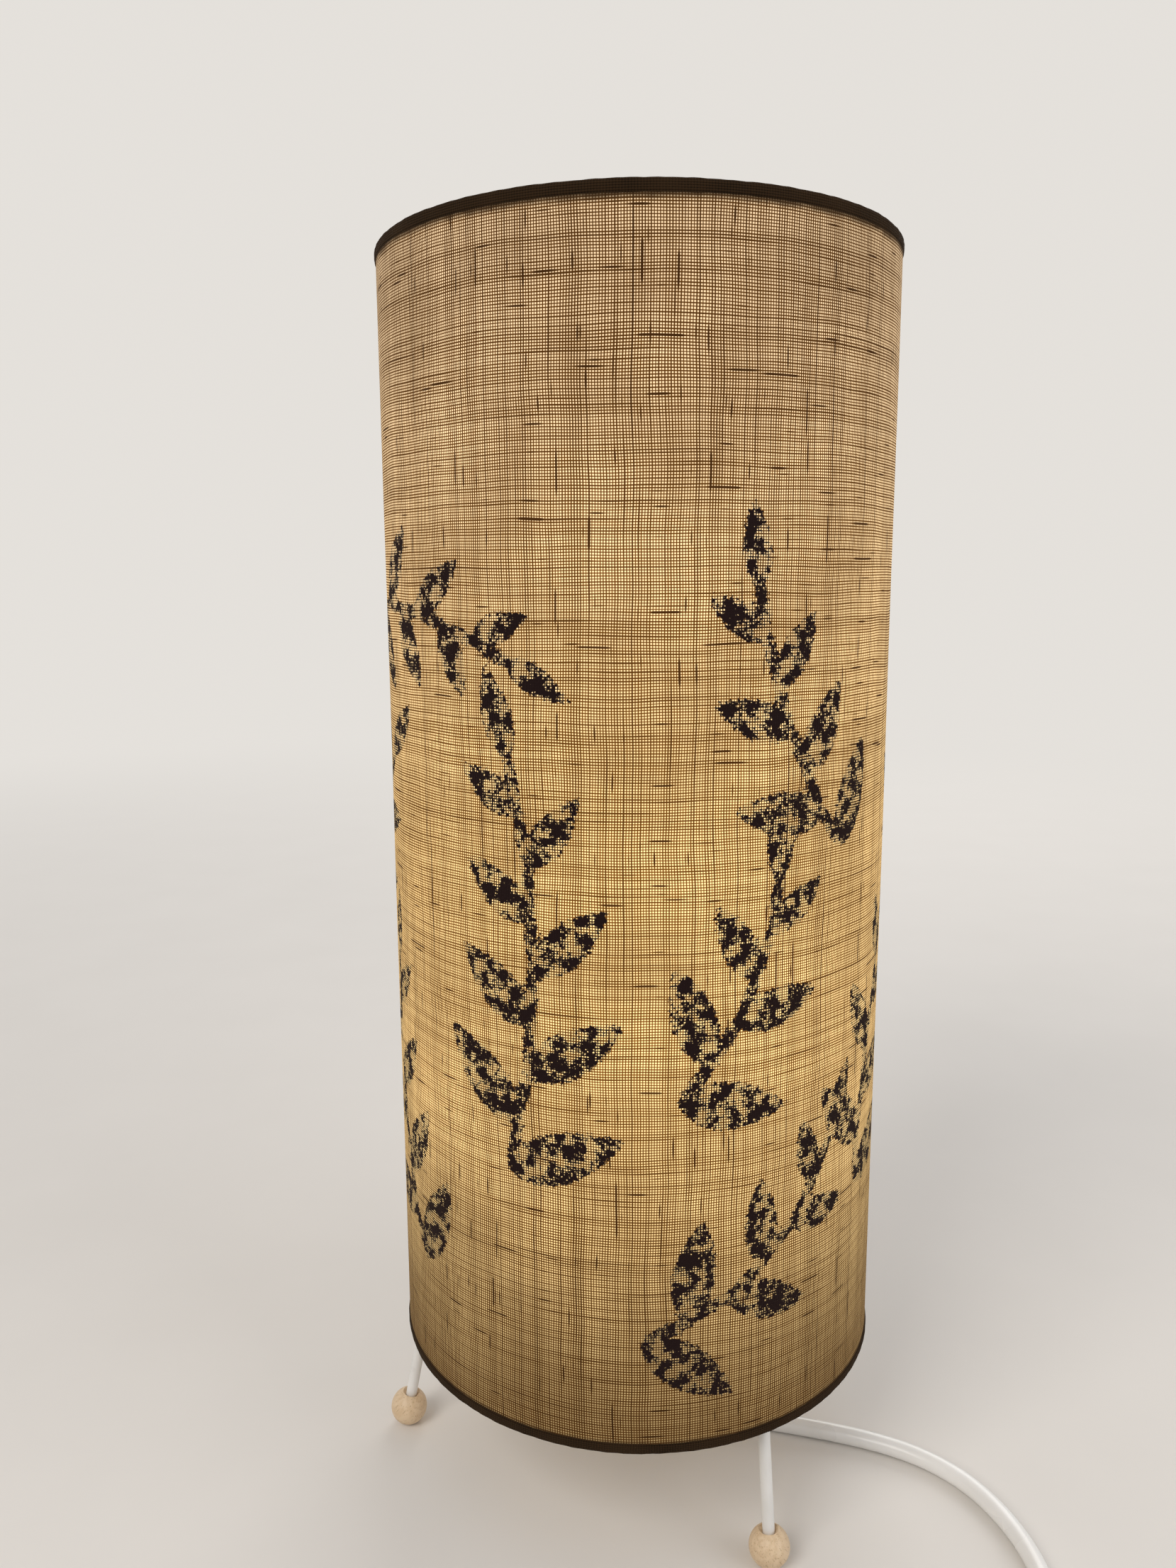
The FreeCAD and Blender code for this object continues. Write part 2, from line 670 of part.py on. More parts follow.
def bulb_volume(name, inset):
    """The bulb's outline spun solid, or the space inside it when inset is the wall."""
    radius = f"(Sizes.bulb_diameter / 2 - {inset})"
    seat = f"({bulb_cap_inside} - Sizes.seat_gap - {inset})"
    neck_low = f"({bulb_cap_high} - Sizes.bulb_insulator_height)"
    neck_high = f"({bulb_low} + Sizes.bulb_neck_height)"
    return lathe(name, (0, neck_low), [
        (seat, neck_low),
        (seat, f"{bulb_cap_high} + Sizes.seat_gap"),
        (f"Sizes.bulb_neck / 2 - {inset}", neck_high),
        (f"{radius} * cos(Sizes.bulb_tangent)", f"{bulb_centre} - {radius} * sin(Sizes.bulb_tangent)",
         f"Sizes.bulb_neck_curve + {inset}", -1),
        (0, f"{bulb_centre} + {radius}", radius, 1),
    ])


def make_bulb():
    glass = bulb_volume("bulb_outside", 0)
    space = bulb_volume("bulb_inside", "Sizes.bulb_wall")
    keep(cut("glass", glass, space), "bulb_glass")
    cap_radius = "(Sizes.bulb_cap_diameter / 2)"
    wall = "Sizes.bulb_cap_wall"
    keep(lathe("bulb_cap_turned", (f"Sizes.bulb_contact / 2 + {wall}", bulb_cap_low), [
        (cap_radius, bulb_cap_low),
        (cap_radius, bulb_cap_high),
        (bulb_cap_inside, bulb_cap_high),
        (bulb_cap_inside, f"{bulb_cap_low} + {wall}"),
        (f"Sizes.bulb_contact / 2 + {wall}", f"{bulb_cap_low} + {wall}"),
    ]), "bulb_cap")
    contact_high = f"({bulb_low} + Sizes.bulb_contact_height)"
    keep(lathe("insulator", (0, contact_high), [
        ("Sizes.bulb_contact / 2", contact_high),
        (f"{cap_radius} - Sizes.seat_gap", bulb_cap_low),
        (0, bulb_cap_low),
    ]), "bulb_insulator")
    keep(lathe("contact", (0, bulb_low), [
        ("Sizes.bulb_contact / 3", bulb_low),
        ("Sizes.bulb_contact / 2", contact_high),
        (0, contact_high),
    ]), "bulb_contact")
    stem_low = f"({bulb_cap_high} - Sizes.seat_gap)"
    stem_high = f"({stem_low} + Sizes.stem_height)"
    filament_low = f"({stem_high} + Sizes.star_wire + Sizes.seat_gap)"
    filament_high = f"({filament_low} + Sizes.filament_length)"
    rod_high = f"({filament_high} + Sizes.star_wire * 2)"
    keep(lathe("stem", (0, stem_low), [
        (f"{bulb_cap_inside} - Sizes.bulb_wall - 2 * Sizes.seat_gap", stem_low),
        ("Sizes.stem_tube / 2", f"{stem_low} + Sizes.stem_height / 3"),
        ("Sizes.stem_tube / 2", f"{stem_high} - Sizes.stem_tube / 4"),
        ("Sizes.stem_rod / 2", stem_high),
        ("Sizes.stem_rod / 2", rod_high),
        (0, rod_high),
    ]), "bulb_stem")
    filaments = []
    arms = []
    circle = "(Sizes.filament_circle / 2)"
    star = "(Sizes.star_wire / 2)"
    arm_start = "(Sizes.stem_rod / 2)"
    for index in range(4):
        angle = 45 + 90 * index
        filaments.append(rod(f"filament_{index + 1}", "Sizes.filament_diameter / 2", "Sizes.filament_length",
                             f"{circle} * cos({angle})", f"{circle} * sin({angle})", filament_low))
        for level, height in (("low", f"{filament_low} - {star}"), ("high", f"{filament_high} + {star}")):
            arms.append(rod(f"star_{level}_{index + 1}", star, f"{circle} - {arm_start}",
                            f"{arm_start} * cos({angle})", f"{arm_start} * sin({angle})", height,
                            90, Vector(-math.sin(math.radians(angle)), math.cos(math.radians(angle)), 0)))
    keep(group("filaments", *filaments), "bulb_filaments")
    keep(group("star_wires", *arms), "bulb_filament_wires")
    driver_low = f"{bulb_cap_low} + Sizes.bulb_cap_height / 4"
    keep(block("driver", f"2 * {bulb_cap_inside} - 3 * Sizes.seat_gap", "Sizes.driver_thickness",
               "Sizes.driver_height", 0, 0, driver_low), "bulb_driver")


# The cord: straight runs joined by tangent arcs, and the put-away length as a coil.

def corner_arc(begin, corner, end):
    """The arc that is tangent to both sides of a corner at begin and end, equally far from it."""
    first = corner - begin
    second = end - corner
    half_turn = first.getAngle(second) / 2
    radius = first.Length / math.tan(half_turn)
    inward = ((begin + end) / 2 - corner).normalize()
    middle = corner + inward * (radius / math.cos(half_turn) - radius)
    return Part.Arc(begin, middle, end).toShape(), radius


def rounded_route(points):
    """The edges along a route, and the radius at each corner."""
    edges = []
    radii = []
    here = points[0]
    for before, corner, after in zip(points, points[1:], points[2:]):
        first = corner - before
        second = after - corner
        tangent = 0.45 * min(first.Length, second.Length)
        begin = corner - first.normalize() * tangent
        end = corner + second.normalize() * tangent
        edges.append(Part.LineSegment(here, begin).toShape())
        arc, radius = corner_arc(begin, corner, end)
        edges.append(arc)
        radii.append(radius)
        here = end
    edges.append(Part.LineSegment(here, points[-1]).toShape())
    return edges, radii


def round_tube(name, edges, diameter):
    """A solid round cord along connected edges, checked against its section times its length."""
    path = Part.Wire(edges)
    start = edges[0].valueAt(edges[0].FirstParameter)
    heading = edges[0].tangentAt(edges[0].FirstParameter)
    section = Part.Wire([Part.Circle(start, heading, diameter / 2).toShape()])
    piece = doc.addObject("Part::Feature", name)
    piece.Shape = path.makePipeShell([section], True, False)
    expected = math.pi * diameter ** 2 / 4 * path.Length
    print(f"{name}: length {path.Length:.1f} mm, volume over expected {piece.Shape.Volume / expected:.4f}")
    return piece


def cord_tube(name, points):
    edges, radii = rounded_route([Vector(*point) for point in points])
    print(f"{name}: radii " + ", ".join(f"{radius:.1f}" for radius in radii))
    keep(round_tube(name + "_tube", edges, number("Sizes.cord_diameter")), name)


def coil_route():
    """Marks half a turn apart with their headings: in on the lower layer, out on the upper one."""
    pitch = number("Sizes.coil_pitch")
    radius = number("Sizes.coil_start_radius")
    centre = Vector(number("Sizes.coil_across"), number("Sizes.coil_along"), 0)
    height = number(f"{cord_radius} + Sizes.coil_lift")
    climb_mark = 7
    last_mark = 13
    marks = []
    for mark in range(last_mark + 1):
        angle = math.radians(number("Sizes.coil_start_angle") - 180 * mark)
        spoke = Vector(math.cos(angle), math.sin(angle), 0)
        heading = Vector(spoke.y, -spoke.x, 0)
        steps_in = mark if mark < climb_mark else last_mark - mark
        if mark == climb_mark:
            steps_in = climb_mark + 1
        point = centre + spoke * (radius - steps_in * pitch / 2)
        point.z = height if mark < climb_mark else height + pitch
        marks.append((point, heading))
    return marks


def biarc(begin, begin_heading, end, end_heading):
    """Two tangent arcs from one point and heading to another."""
    across = end - begin
    both = begin_heading + end_heading
    square = 4 - both.Length ** 2
    slant = across.dot(both)
    reach = (-slant + math.sqrt(slant ** 2 + square * across.dot(across))) / square
    first_corner = begin + begin_heading * reach
    second_corner = end - end_heading * reach
    middle = (first_corner + second_corner) / 2
    return [corner_arc(begin, first_corner, middle)[0], corner_arc(middle, second_corner, end)[0]]


def least_gap(edges, diameter):
    """The least gap between a tube's turns, measured on points about 1 mm apart."""
    points = []
    travelled = []
    length = 0
    for edge in edges:
        count = max(int(edge.Length), 2)
        for step in range(count):
            position = edge.FirstParameter + (edge.LastParameter - edge.FirstParameter) * step / count
            points.append(edge.valueAt(position))
            travelled.append(length + edge.Length * step / count)
        length += edge.Length
    least = math.inf
    for index, point in enumerate(points):
        for other in range(index + 1, len(points)):
            if travelled[other] - travelled[index] > 5 * diameter:
                least = min(least, point.distanceToPoint(points[other]))
    return least - diameter


def make_coil():
    """The coil with a straight end of one diameter on each side, and where those ends are."""
    diameter = number("Sizes.cord_diameter")
    marks = coil_route()
    start = marks[0][0] - marks[0][1] * diameter
    end = marks[-1][0] + marks[-1][1] * diameter
    edges = [Part.LineSegment(start, marks[0][0]).toShape()]
    for (point, heading), (next_point, next_heading) in zip(marks, marks[1:]):
        edges.extend(biarc(point, heading, next_point, next_heading))
    edges.append(Part.LineSegment(marks[-1][0], end).toShape())
    print(f"cord_coil: least gap to itself {least_gap(edges, diameter):.2f} mm")
    keep(round_tube("cord_coil_tube", edges, diameter), "cord_coil")
    return start, end


def make_tie():
    """A flat band round the coil's turns, with its twisted end on top."""
    inner = "(Sizes.coil_start_radius - Sizes.coil_pitch * 3.5 - Sizes.cord_diameter / 2 - Sizes.tie_slack)"
    outer = "(Sizes.coil_start_radius + Sizes.cord_diameter / 2 + Sizes.tie_slack)"
    low = "Sizes.tie_thickness"
    high = "(Sizes.coil_lift + Sizes.cord_diameter + Sizes.coil_pitch + Sizes.tie_slack)"
    thick = "Sizes.tie_thickness"
    band = block("tie_band", f"{outer} - {inner} + 2 * {thick}", "Sizes.tie_width", f"{high} + {thick}",
                 f"({outer} + {inner}) / 2")
    space = block("tie_space", f"{outer} - {inner}", "Sizes.tie_width * 2", f"{high} - {low}",
                  f"({outer} + {inner}) / 2", 0, low)
    twist = block("tie_twist", "Sizes.tie_width * 2", "Sizes.tie_width / 2", "Sizes.tie_width / 2",
                  f"({outer} + {inner}) / 2", 0, f"{high} + {thick}")
    tie = cut("tie", fuse("tie_blank", band, twist), space)
    keep(place(tie, "Sizes.coil_across", "Sizes.coil_along", 0, "Sizes.tie_angle"), "coil_tie")


def make_cord():
    radius = number(cord_radius)
    exit_height = number(cord_exit)
    entry = number("Sizes.switch_split")
    keep(rod("cord_in", cord_radius, "Sizes.cord_in_lamp", 0, 0, cord_exit), "cord_in_lamp")
    wire_low = f"({cord_exit} + Sizes.cord_in_lamp + Sizes.wire_diameter / 2)"
    wire_rise = f"({insert_low} - Sizes.wire_diameter / 2 - {wire_low})"
    wire_aside = "(Sizes.wire_diameter * 0.6)"
    wire_lean = f"atan((Sizes.terminal_place - {wire_aside}) / {wire_rise})"
    wires = []
    for name, side in (("left", -1), ("right", 1)):
        wires.append(rod(f"wire_{name}", "Sizes.wire_diameter / 2", f"{wire_rise} / cos({wire_lean})",
                         f"{side} * {wire_aside}", 0, wire_low, f"{side} * {wire_lean}", Vector(0, 1, 0)))
    keep(group("wires", *wires), "supply_wires")

    coil_start, coil_end = make_coil()
    cord_tube("cord_to_switch", [
        (0, 0, exit_height),
        (0, 0, 22.8),
        (20, -2.3, radius),
        (45.7, -5.2, radius),
        (87.4, -15.6, radius),
        (109.4, -31.0, radius),
        (120.8, -54.3, radius),
        (123.4, -79.0, radius),
        (118.49, -102.5, entry),
        (107.49, -121.56, entry),
    ])
    cord_tube("cord_to_coil", [
        (85.49, -159.66, entry),
        (77.49, -173.52, entry),
        (69.24, -187.81, coil_start.z),
        tuple(coil_start),
    ])
    cord_tube("cord_to_plug", [
        tuple(coil_end),
        (-8.94, -139.21, coil_end.z),
        (2.88, -129.97, entry),
        (17.30, -125.84, entry),
    ])


# The in-line switch, made along X on the table and then turned to its place on the cord.

def put_switch(piece, label):
    return keep(place(piece, "Sizes.switch_across", "Sizes.switch_along", 0,
                      "Sizes.coil_start_angle - 90"), label)


def four_corners(along, aside):
    return [(f"{sx} * {along}", f"{sy} * {aside}") for sx in (-1, 1) for sy in (-1, 1)]


def make_switch():
    length = "Sizes.switch_length"
    width = "Sizes.switch_width"
    corner = "Sizes.switch_corner"
    wall = "Sizes.switch_wall"
    split = "Sizes.switch_split"
    top = "Sizes.switch_height"
    pivot = "Sizes.rocker_pivot"
    floor = "Sizes.switch_floor"
    inside = (f"{length} - 2 * {wall}", f"{width} - 2 * {wall}", f"{corner} - {wall}")
    cord_way = rod("switch_cord_way", f"{cord_radius} + Sizes.cord_hole_gap", f"{length} * 1.2",
                   f"-{length} * 0.6", 0, split, 90, Vector(0, 1, 0))
    post_places = (("front", "Sizes.housing_post_along", "-Sizes.housing_post_aside"),
                   ("back", "-Sizes.housing_post_along", "Sizes.housing_post_aside"))

    blank = rounded_slab("base_blank", length, width, corner, 0, split)
    space = rounded_slab("base_space", *inside, floor, f"{split} + {wall}")
    shell = cut("base_shell", blank, space, cord_way)
    posts = [rod(f"base_post_{name}", "Sizes.housing_post / 2", f"{split} - {floor}", x, y, floor)
             for name, x, y in post_places]
    clamp_posts = [rod(f"clamp_post_{index}", "Sizes.clamp_post / 2",
                       f"{split} + {cord_radius} - {floor}", x, y, floor)
                   for index, (x, y) in enumerate(four_corners("Sizes.clamp_place", "Sizes.clamp_post_place"))]
    screw_holes = [rod(f"base_hole_{name}", "Sizes.housing_screw / 2 + Sizes.cord_hole_gap / 2",
                       split, x, y, 0) for name, x, y in post_places]
    head_holes = [rod(f"base_head_{name}", "Sizes.housing_screw_head / 2 + Sizes.cord_hole_gap",
                      f"{split} / 2", x, y, 0) for name, x, y in post_places]
    clamp_holes = [rod(f"clamp_hole_{index}", "Sizes.clamp_screw / 2 + Sizes.socket_gap",
                       f"{split} + {cord_radius} - {floor} * 2", x, y, f"{floor} * 2")
                   for index, (x, y) in enumerate(four_corners("Sizes.clamp_place", "Sizes.clamp_post_place"))]
    base = cut("base", fuse("base_filled", shell, *posts, *clamp_posts),
               *screw_holes, *head_holes, *clamp_holes)
    put_switch(base, "switch_base")

    cover_blank = rounded_slab("cover_blank", length, width, corner, split, top)
    soften = cover_blank.newObject("PartDesign::Fillet", "cover_edge")
    doc.recompute()
    pad = cover_blank.Group[-2]
    high = number(top)
    rim = [f"Edge{index + 1}" for index, edge in enumerate(pad.Shape.Edges)
           if edge.BoundBox.ZMin > high - 0.01]
    soften.Base = (pad, rim)
    bind(soften, Radius="Sizes.switch_edge")
    cover_space = rounded_slab("cover_space", *inside, f"{split} - {wall}", f"{top} - {floor}")
    reach = "(Sizes.rocker_radius + Sizes.rocker_gap)"
    window = block("window", f"{reach} * 2", "Sizes.rocker_width + 2 * Sizes.rocker_gap",
                   f"{wall} * 3", 0, 0, f"{top} - {floor} - {wall}")
    lug_place = "(Sizes.rocker_width / 2 + Sizes.lug_gap + Sizes.lug_thickness / 2)"
    lugs = [block(f"lug_{name}", "Sizes.lug_width", "Sizes.lug_thickness",
                  f"{top} - {floor} - {pivot} + Sizes.lug_width / 2", 0, f"{side} * {lug_place}",
                  f"{pivot} - Sizes.lug_width / 2") for name, side in (("front", -1), ("back", 1))]
    cover_posts = [rod(f"cover_post_{name}", "Sizes.housing_post / 2", f"{top} - {floor} - {split}",
                       x, y, split) for name, x, y in post_places]
    pilot_holes = [rod(f"pilot_{name}", "Sizes.housing_screw / 2 + Sizes.socket_gap",
                       f"{split} - Sizes.cord_hole_gap", x, y, split) for name, x, y in post_places]
    pin_radius = "(Sizes.pin_diameter / 2)"
    pin_length = f"({lug_place} * 2 + Sizes.lug_thickness)"
    pin_hole = rod("pin_hole", f"{pin_radius} + Sizes.pin_gap", f"{pin_length} * 1.1",
                   0, f"{pin_length} * 0.55", pivot, 90, Vector(1, 0, 0))
    cover = cut("cover", fuse("cover_filled", cut("cover_shell", cover_blank, cover_space, window, cord_way),
                              *lugs, *cover_posts), pin_hole, *pilot_holes)
    put_switch(cover, "switch_cover")
    pin = rod("pin", pin_radius, pin_length, 0, f"{pin_length} / 2", pivot, 90, Vector(1, 0, 0))
    put_switch(group("pin_alone", pin), "rocker_pin")


def tilted(name, piece):
    """The rocker's pieces rest tilted about the pivot."""
    tilt = "Sizes.rocker_tilt"
    pivot = "Sizes.rocker_pivot"
    place(piece, f"-{pivot} * sin({tilt})", 0, f"{pivot} * (1 - cos({tilt}))", tilt, Vector(0, 1, 0))
    return group(name, piece)


def make_rocker():
    pivot = "Sizes.rocker_pivot"
    radius = "Sizes.rocker_radius"
    low = "Sizes.rocker_low_angle"
    high = "Sizes.rocker_high_angle"
    foot = "(Sizes.rocker_foot / 2)"
    underside = f"{pivot} + Sizes.rocker_underside"
    foot_low = f"{pivot} - Sizes.rocker_foot_drop"
    right_low = (f"{radius} * cos({low})", f"{pivot} + {radius} * sin({low})")
    right_high = (f"{radius} * cos({high})", f"{pivot} + {radius} * sin({high})")
    left_low = (f"-{right_low[0]}", right_low[1])
    left_high = (f"-{right_high[0]}", right_high[1])
    half = "(Sizes.rocker_width / 2)"
    blank = slab("rocker_blank", (foot, foot_low), [
        (foot, underside),
        right_low,
        (*right_high, radius, 1),
        (0, f"{pivot} + Sizes.rocker_middle"),
        left_high,
        (*left_low, radius, 1),
        (f"-{foot}", underside),
        (f"-{foot}", foot_low),
    ], f"-{half}", half, role="XZ_Plane")
    hole = rod("rocker_hole", "Sizes.pin_diameter / 2 + Sizes.pin_gap", "Sizes.rocker_width * 1.2",
               0, "Sizes.rocker_width * 0.6", pivot, 90, Vector(1, 0, 0))
    put_switch(tilted("rocker", cut("rocker_level", blank, hole)), "switch_rocker")
    bridge = block("bridge_level", "Sizes.bridge_length", "Sizes.bridge_width", "Sizes.bridge_thickness",
                   0, 0, f"{foot_low} - Sizes.bridge_thickness")
    bridge_wrap = cut("bridge_cut", bridge, rod("bridge_hole", "Sizes.clamp_screw / 4", "Sizes.pin_diameter",
                                                0, 0, f"{foot_low} - Sizes.pin_diameter"))
    put_switch(tilted("bridge", bridge_wrap), "contact_bridge")


def make_switch_inside():
    floor = "Sizes.switch_floor"
    split = "Sizes.switch_split"
    bridge_low = "(Sizes.rocker_pivot - Sizes.rocker_foot_drop - Sizes.bridge_thickness)"
    drop = "(Sizes.bridge_length / 2 * sin(Sizes.rocker_tilt))"
    contact_high = f"({bridge_low} - {drop} - Sizes.contact_gap)"
    contacts = [block(f"contact_{name}", "Sizes.contact_width", "Sizes.bridge_width",
                      f"{contact_high} - {floor}",
                      f"{side} * (Sizes.bridge_length / 2 - Sizes.contact_width / 2)", 0, floor)
                for name, side in (("left", -1), ("right", 1))]
    put_switch(group("contacts", *contacts), "switch_contacts")
    cord_high = f"({split} + {cord_radius})"
    bars = []
    for name, side in (("left", -1), ("right", 1)):
        bar = block(f"clamp_bar_{name}", "Sizes.clamp_width", "Sizes.clamp_length", "Sizes.clamp_thickness",
                    f"{side} * Sizes.clamp_place", 0, cord_high)
        holes = [rod(f"bar_hole_{name}_{end}", "Sizes.clamp_screw / 2 + Sizes.socket_gap",
                     "Sizes.clamp_thickness * 2", f"{side} * Sizes.clamp_place",
                     f"{sign} * Sizes.clamp_post_place", f"{cord_high} - Sizes.clamp_thickness / 2")
                 for end, sign in (("front", -1), ("back", 1))]
        bars.append(cut(f"clamp_{name}", bar, *holes))
    put_switch(group("clamps", *bars), "cord_clamps")
    screws = []
    for index, (x, y) in enumerate(four_corners("Sizes.clamp_place", "Sizes.clamp_post_place")):
        shank = rod(f"clamp_shank_{index}", "Sizes.clamp_screw / 2",
                    f"{cord_high} - 2 * {floor} + Sizes.clamp_thickness", x, y, f"2 * {floor}")
        head = rod(f"clamp_head_{index}", "Sizes.clamp_screw * 0.85", "Sizes.clamp_screw / 2", x, y,
                   f"{cord_high} + Sizes.clamp_thickness")
        screws.append(fuse(f"clamp_screw_{index}", shank, head))
    put_switch(group("clamp_screws_all", *screws), "clamp_screws")
    housing = []
    for name, x, y in (("front", "Sizes.housing_post_along", "-Sizes.housing_post_aside"),
                       ("back", "-Sizes.housing_post_along", "Sizes.housing_post_aside")):
        shank = rod(f"housing_shank_{name}", "Sizes.housing_screw / 2",
                    f"{split} * 1.5 - Sizes.switch_edge", x, y, f"{split} / 2")
        head = rod(f"housing_head_{name}", "Sizes.housing_screw_head / 2", "Sizes.housing_screw * 0.6",
                   x, y, f"{split} / 2 - Sizes.housing_screw * 0.6")
        housing.append(fuse(f"housing_screw_{name}", shank, head))
    put_switch(group("housing_screws", *housing), "switch_screws")


# The plug, made along X from where the cord enters it and then turned to its place.

def make_plug():
    axis = "Sizes.plug_height / 2"
    root = "(Sizes.plug_relief + Sizes.plug_body)"
    neck = "(Sizes.plug_neck / 2)"
    half = "(Sizes.plug_width / 2)"
    shoulder = "(Sizes.plug_relief + Sizes.plug_taper)"
    body = slab("plug_block", ("Sizes.plug_relief", f"-{neck}"), [
        (shoulder, f"-{half}"),
        (root, f"-{half}"),
        (root, half),
        (shoulder, half),
        ("Sizes.plug_relief", neck),
    ], 0, "Sizes.plug_height")
    soften = body.newObject("PartDesign::Fillet", "plug_edge")
    doc.recompute()
    pad = body.Group[-2]
    high = number("Sizes.plug_height")
    rim = [f"Edge{index + 1}" for index, edge in enumerate(pad.Shape.Edges)
           if (edge.BoundBox.ZMin > high - 0.01 or edge.BoundBox.ZMax < 0.01)
           and edge.BoundBox.XMin < number(root) - 0.01
           and edge.BoundBox.XMax > number("Sizes.plug_relief") + 0.01]
    soften.Base = (pad, rim)
    bind(soften, Radius="Sizes.plug_edge")
    relief = doc.addObject("Part::Cone", "plug_relief_cone")
    bind(relief, Radius1="Sizes.plug_relief_end / 2", Radius2="Sizes.plug_relief_root / 2",
         Height="Sizes.plug_relief + Sizes.plug_edge")
    place(relief, 0, 0, axis, 90, Vector(0, 1, 0))
    cord_way = rod("plug_cord_way", f"{cord_radius} + Sizes.socket_gap", "Sizes.cord_in_plug",
                   0, 0, axis, 90, Vector(0, 1, 0))
    holes = []
    pins = []
    for name, side in (("left", "-1"), ("right", "1")):
        aside = f"{side} * Sizes.pin_spacing / 2"
        holes.append(rod(f"pin_way_{name}", "Sizes.pin_root_across / 2 + Sizes.socket_gap", "Sizes.pin_root",
                         f"{root} - Sizes.pin_root", aside, axis, 90, Vector(0, 1, 0)))
        held = rod(f"pin_held_{name}", "Sizes.pin_root_across / 2", "Sizes.pin_root",
                   f"{root} - Sizes.pin_root", aside, axis, 90, Vector(0, 1, 0))
        shank = rod(f"pin_shank_{name}", "Sizes.pin_across / 2", "Sizes.pin_length - Sizes.pin_across / 2",
                    root, aside, axis, 90, Vector(0, 1, 0))
        tip = doc.addObject("Part::Sphere", f"pin_tip_{name}")
        bind(tip, Radius="Sizes.pin_across / 2")
        place(tip, f"{root} + Sizes.pin_length - Sizes.pin_across / 2", aside, axis)
        pins.append(fuse(f"pin_{name}", held, shank, tip))
    plug = cut("plug", fuse("plug_filled", body, relief), cord_way, *holes)
    for piece, label in ((plug, "plug_body"), (group("pins", *pins), "plug_pins")):
        keep(place(piece, "Sizes.plug_across", "Sizes.plug_along", 0, "Sizes.plug_turn"), label)


make_linen(make_fitter())
make_liner()
make_stand()
make_nipple()
make_holder()
make_bulb()
make_cord()
make_tie()
make_switch()
make_rocker()
make_switch_inside()
make_plug()
doc.recompute()

faults = [item.Name for item in doc.Objects if "Invalid" in item.State or "Error" in item.State]
if faults:
    raise RuntimeError("failed objects: " + ", ".join(faults))
for piece in kept:
    if piece.Shape.isNull() or not piece.Shape.isValid() or not piece.Shape.Solids:
        raise RuntimeError("bad shape: " + piece.Label)

os.makedirs("parts", exist_ok=True)
for piece in kept:
    piece.Shape.exportStep(f"parts/{piece.Label}.step")
    print(f"{piece.Label}: {len(piece.Shape.Solids)} solid(s), volume {piece.Shape.Volume:.1f} mm3")
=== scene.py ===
# %% [markdown]
# # A table lamp with a printed linen shade
#
# The lamp is a tall drum of natural linen on a low stand of three bent wire legs with ball feet, and a white
# cord with a rocker switch leaves it under the shade. The hard parts come ready from the CAD model, which
# stays where it is. This lesson adds what CAD leaves plain: the cloth, its hems, the cord, and a finish with
# some life in it for every surface.

# %% Load the lamp
import json
import math

import bpy
import numpy as np
from mathutils import Matrix, Vector

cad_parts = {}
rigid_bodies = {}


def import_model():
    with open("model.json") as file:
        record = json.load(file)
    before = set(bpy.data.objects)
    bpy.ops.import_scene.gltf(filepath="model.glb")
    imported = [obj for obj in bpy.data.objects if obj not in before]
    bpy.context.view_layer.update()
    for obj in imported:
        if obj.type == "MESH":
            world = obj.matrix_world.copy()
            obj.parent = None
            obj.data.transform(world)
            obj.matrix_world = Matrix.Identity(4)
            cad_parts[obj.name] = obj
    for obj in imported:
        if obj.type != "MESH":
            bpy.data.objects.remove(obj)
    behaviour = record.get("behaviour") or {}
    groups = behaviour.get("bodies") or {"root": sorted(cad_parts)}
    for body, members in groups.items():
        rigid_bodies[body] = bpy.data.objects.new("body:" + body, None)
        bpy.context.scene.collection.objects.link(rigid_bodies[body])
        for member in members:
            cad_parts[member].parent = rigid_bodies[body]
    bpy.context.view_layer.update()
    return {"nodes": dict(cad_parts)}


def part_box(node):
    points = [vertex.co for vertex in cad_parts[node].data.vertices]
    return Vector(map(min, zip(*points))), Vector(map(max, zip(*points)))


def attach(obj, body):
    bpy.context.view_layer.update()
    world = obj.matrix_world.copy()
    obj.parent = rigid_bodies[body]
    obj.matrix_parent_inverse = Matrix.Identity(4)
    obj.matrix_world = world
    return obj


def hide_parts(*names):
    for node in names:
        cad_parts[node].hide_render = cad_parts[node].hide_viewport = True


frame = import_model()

nodes = frame["nodes"]
scene = bpy.context.scene

# %% [markdown]
# ## The camera
#
# A photographer stood close to the lamp and looked slightly down on it. A camera can be aimed by eye, but
# here its place and its three turns are known from the lamp's own straight edges and rims, so they are
# written down as numbers. The lens is given in pixels of the picture, which Blender wants as millimetres on
# a sensor 36 mm wide.

# %% Place the camera
PICTURE_WIDTH = 1659
FOCAL_PIXELS = 1710.4
SENSOR_MM = 36
CAMERA_PLACE = Vector((0, -0.3974, 0.3011))
PITCH_DOWN, ROLL, YAW = (math.radians(turn) for turn in (9.71, -0.316, -2.316))

flat_reach = math.cos(PITCH_DOWN)
ahead = Vector((math.sin(YAW) * flat_reach, math.cos(YAW) * flat_reach, -math.sin(PITCH_DOWN)))
level = ahead.cross(Vector((0, 0, 1))).normalized()
above = level.cross(ahead)
right = level * math.cos(ROLL) + above * math.sin(ROLL)
upward = above * math.cos(ROLL) - level * math.sin(ROLL)

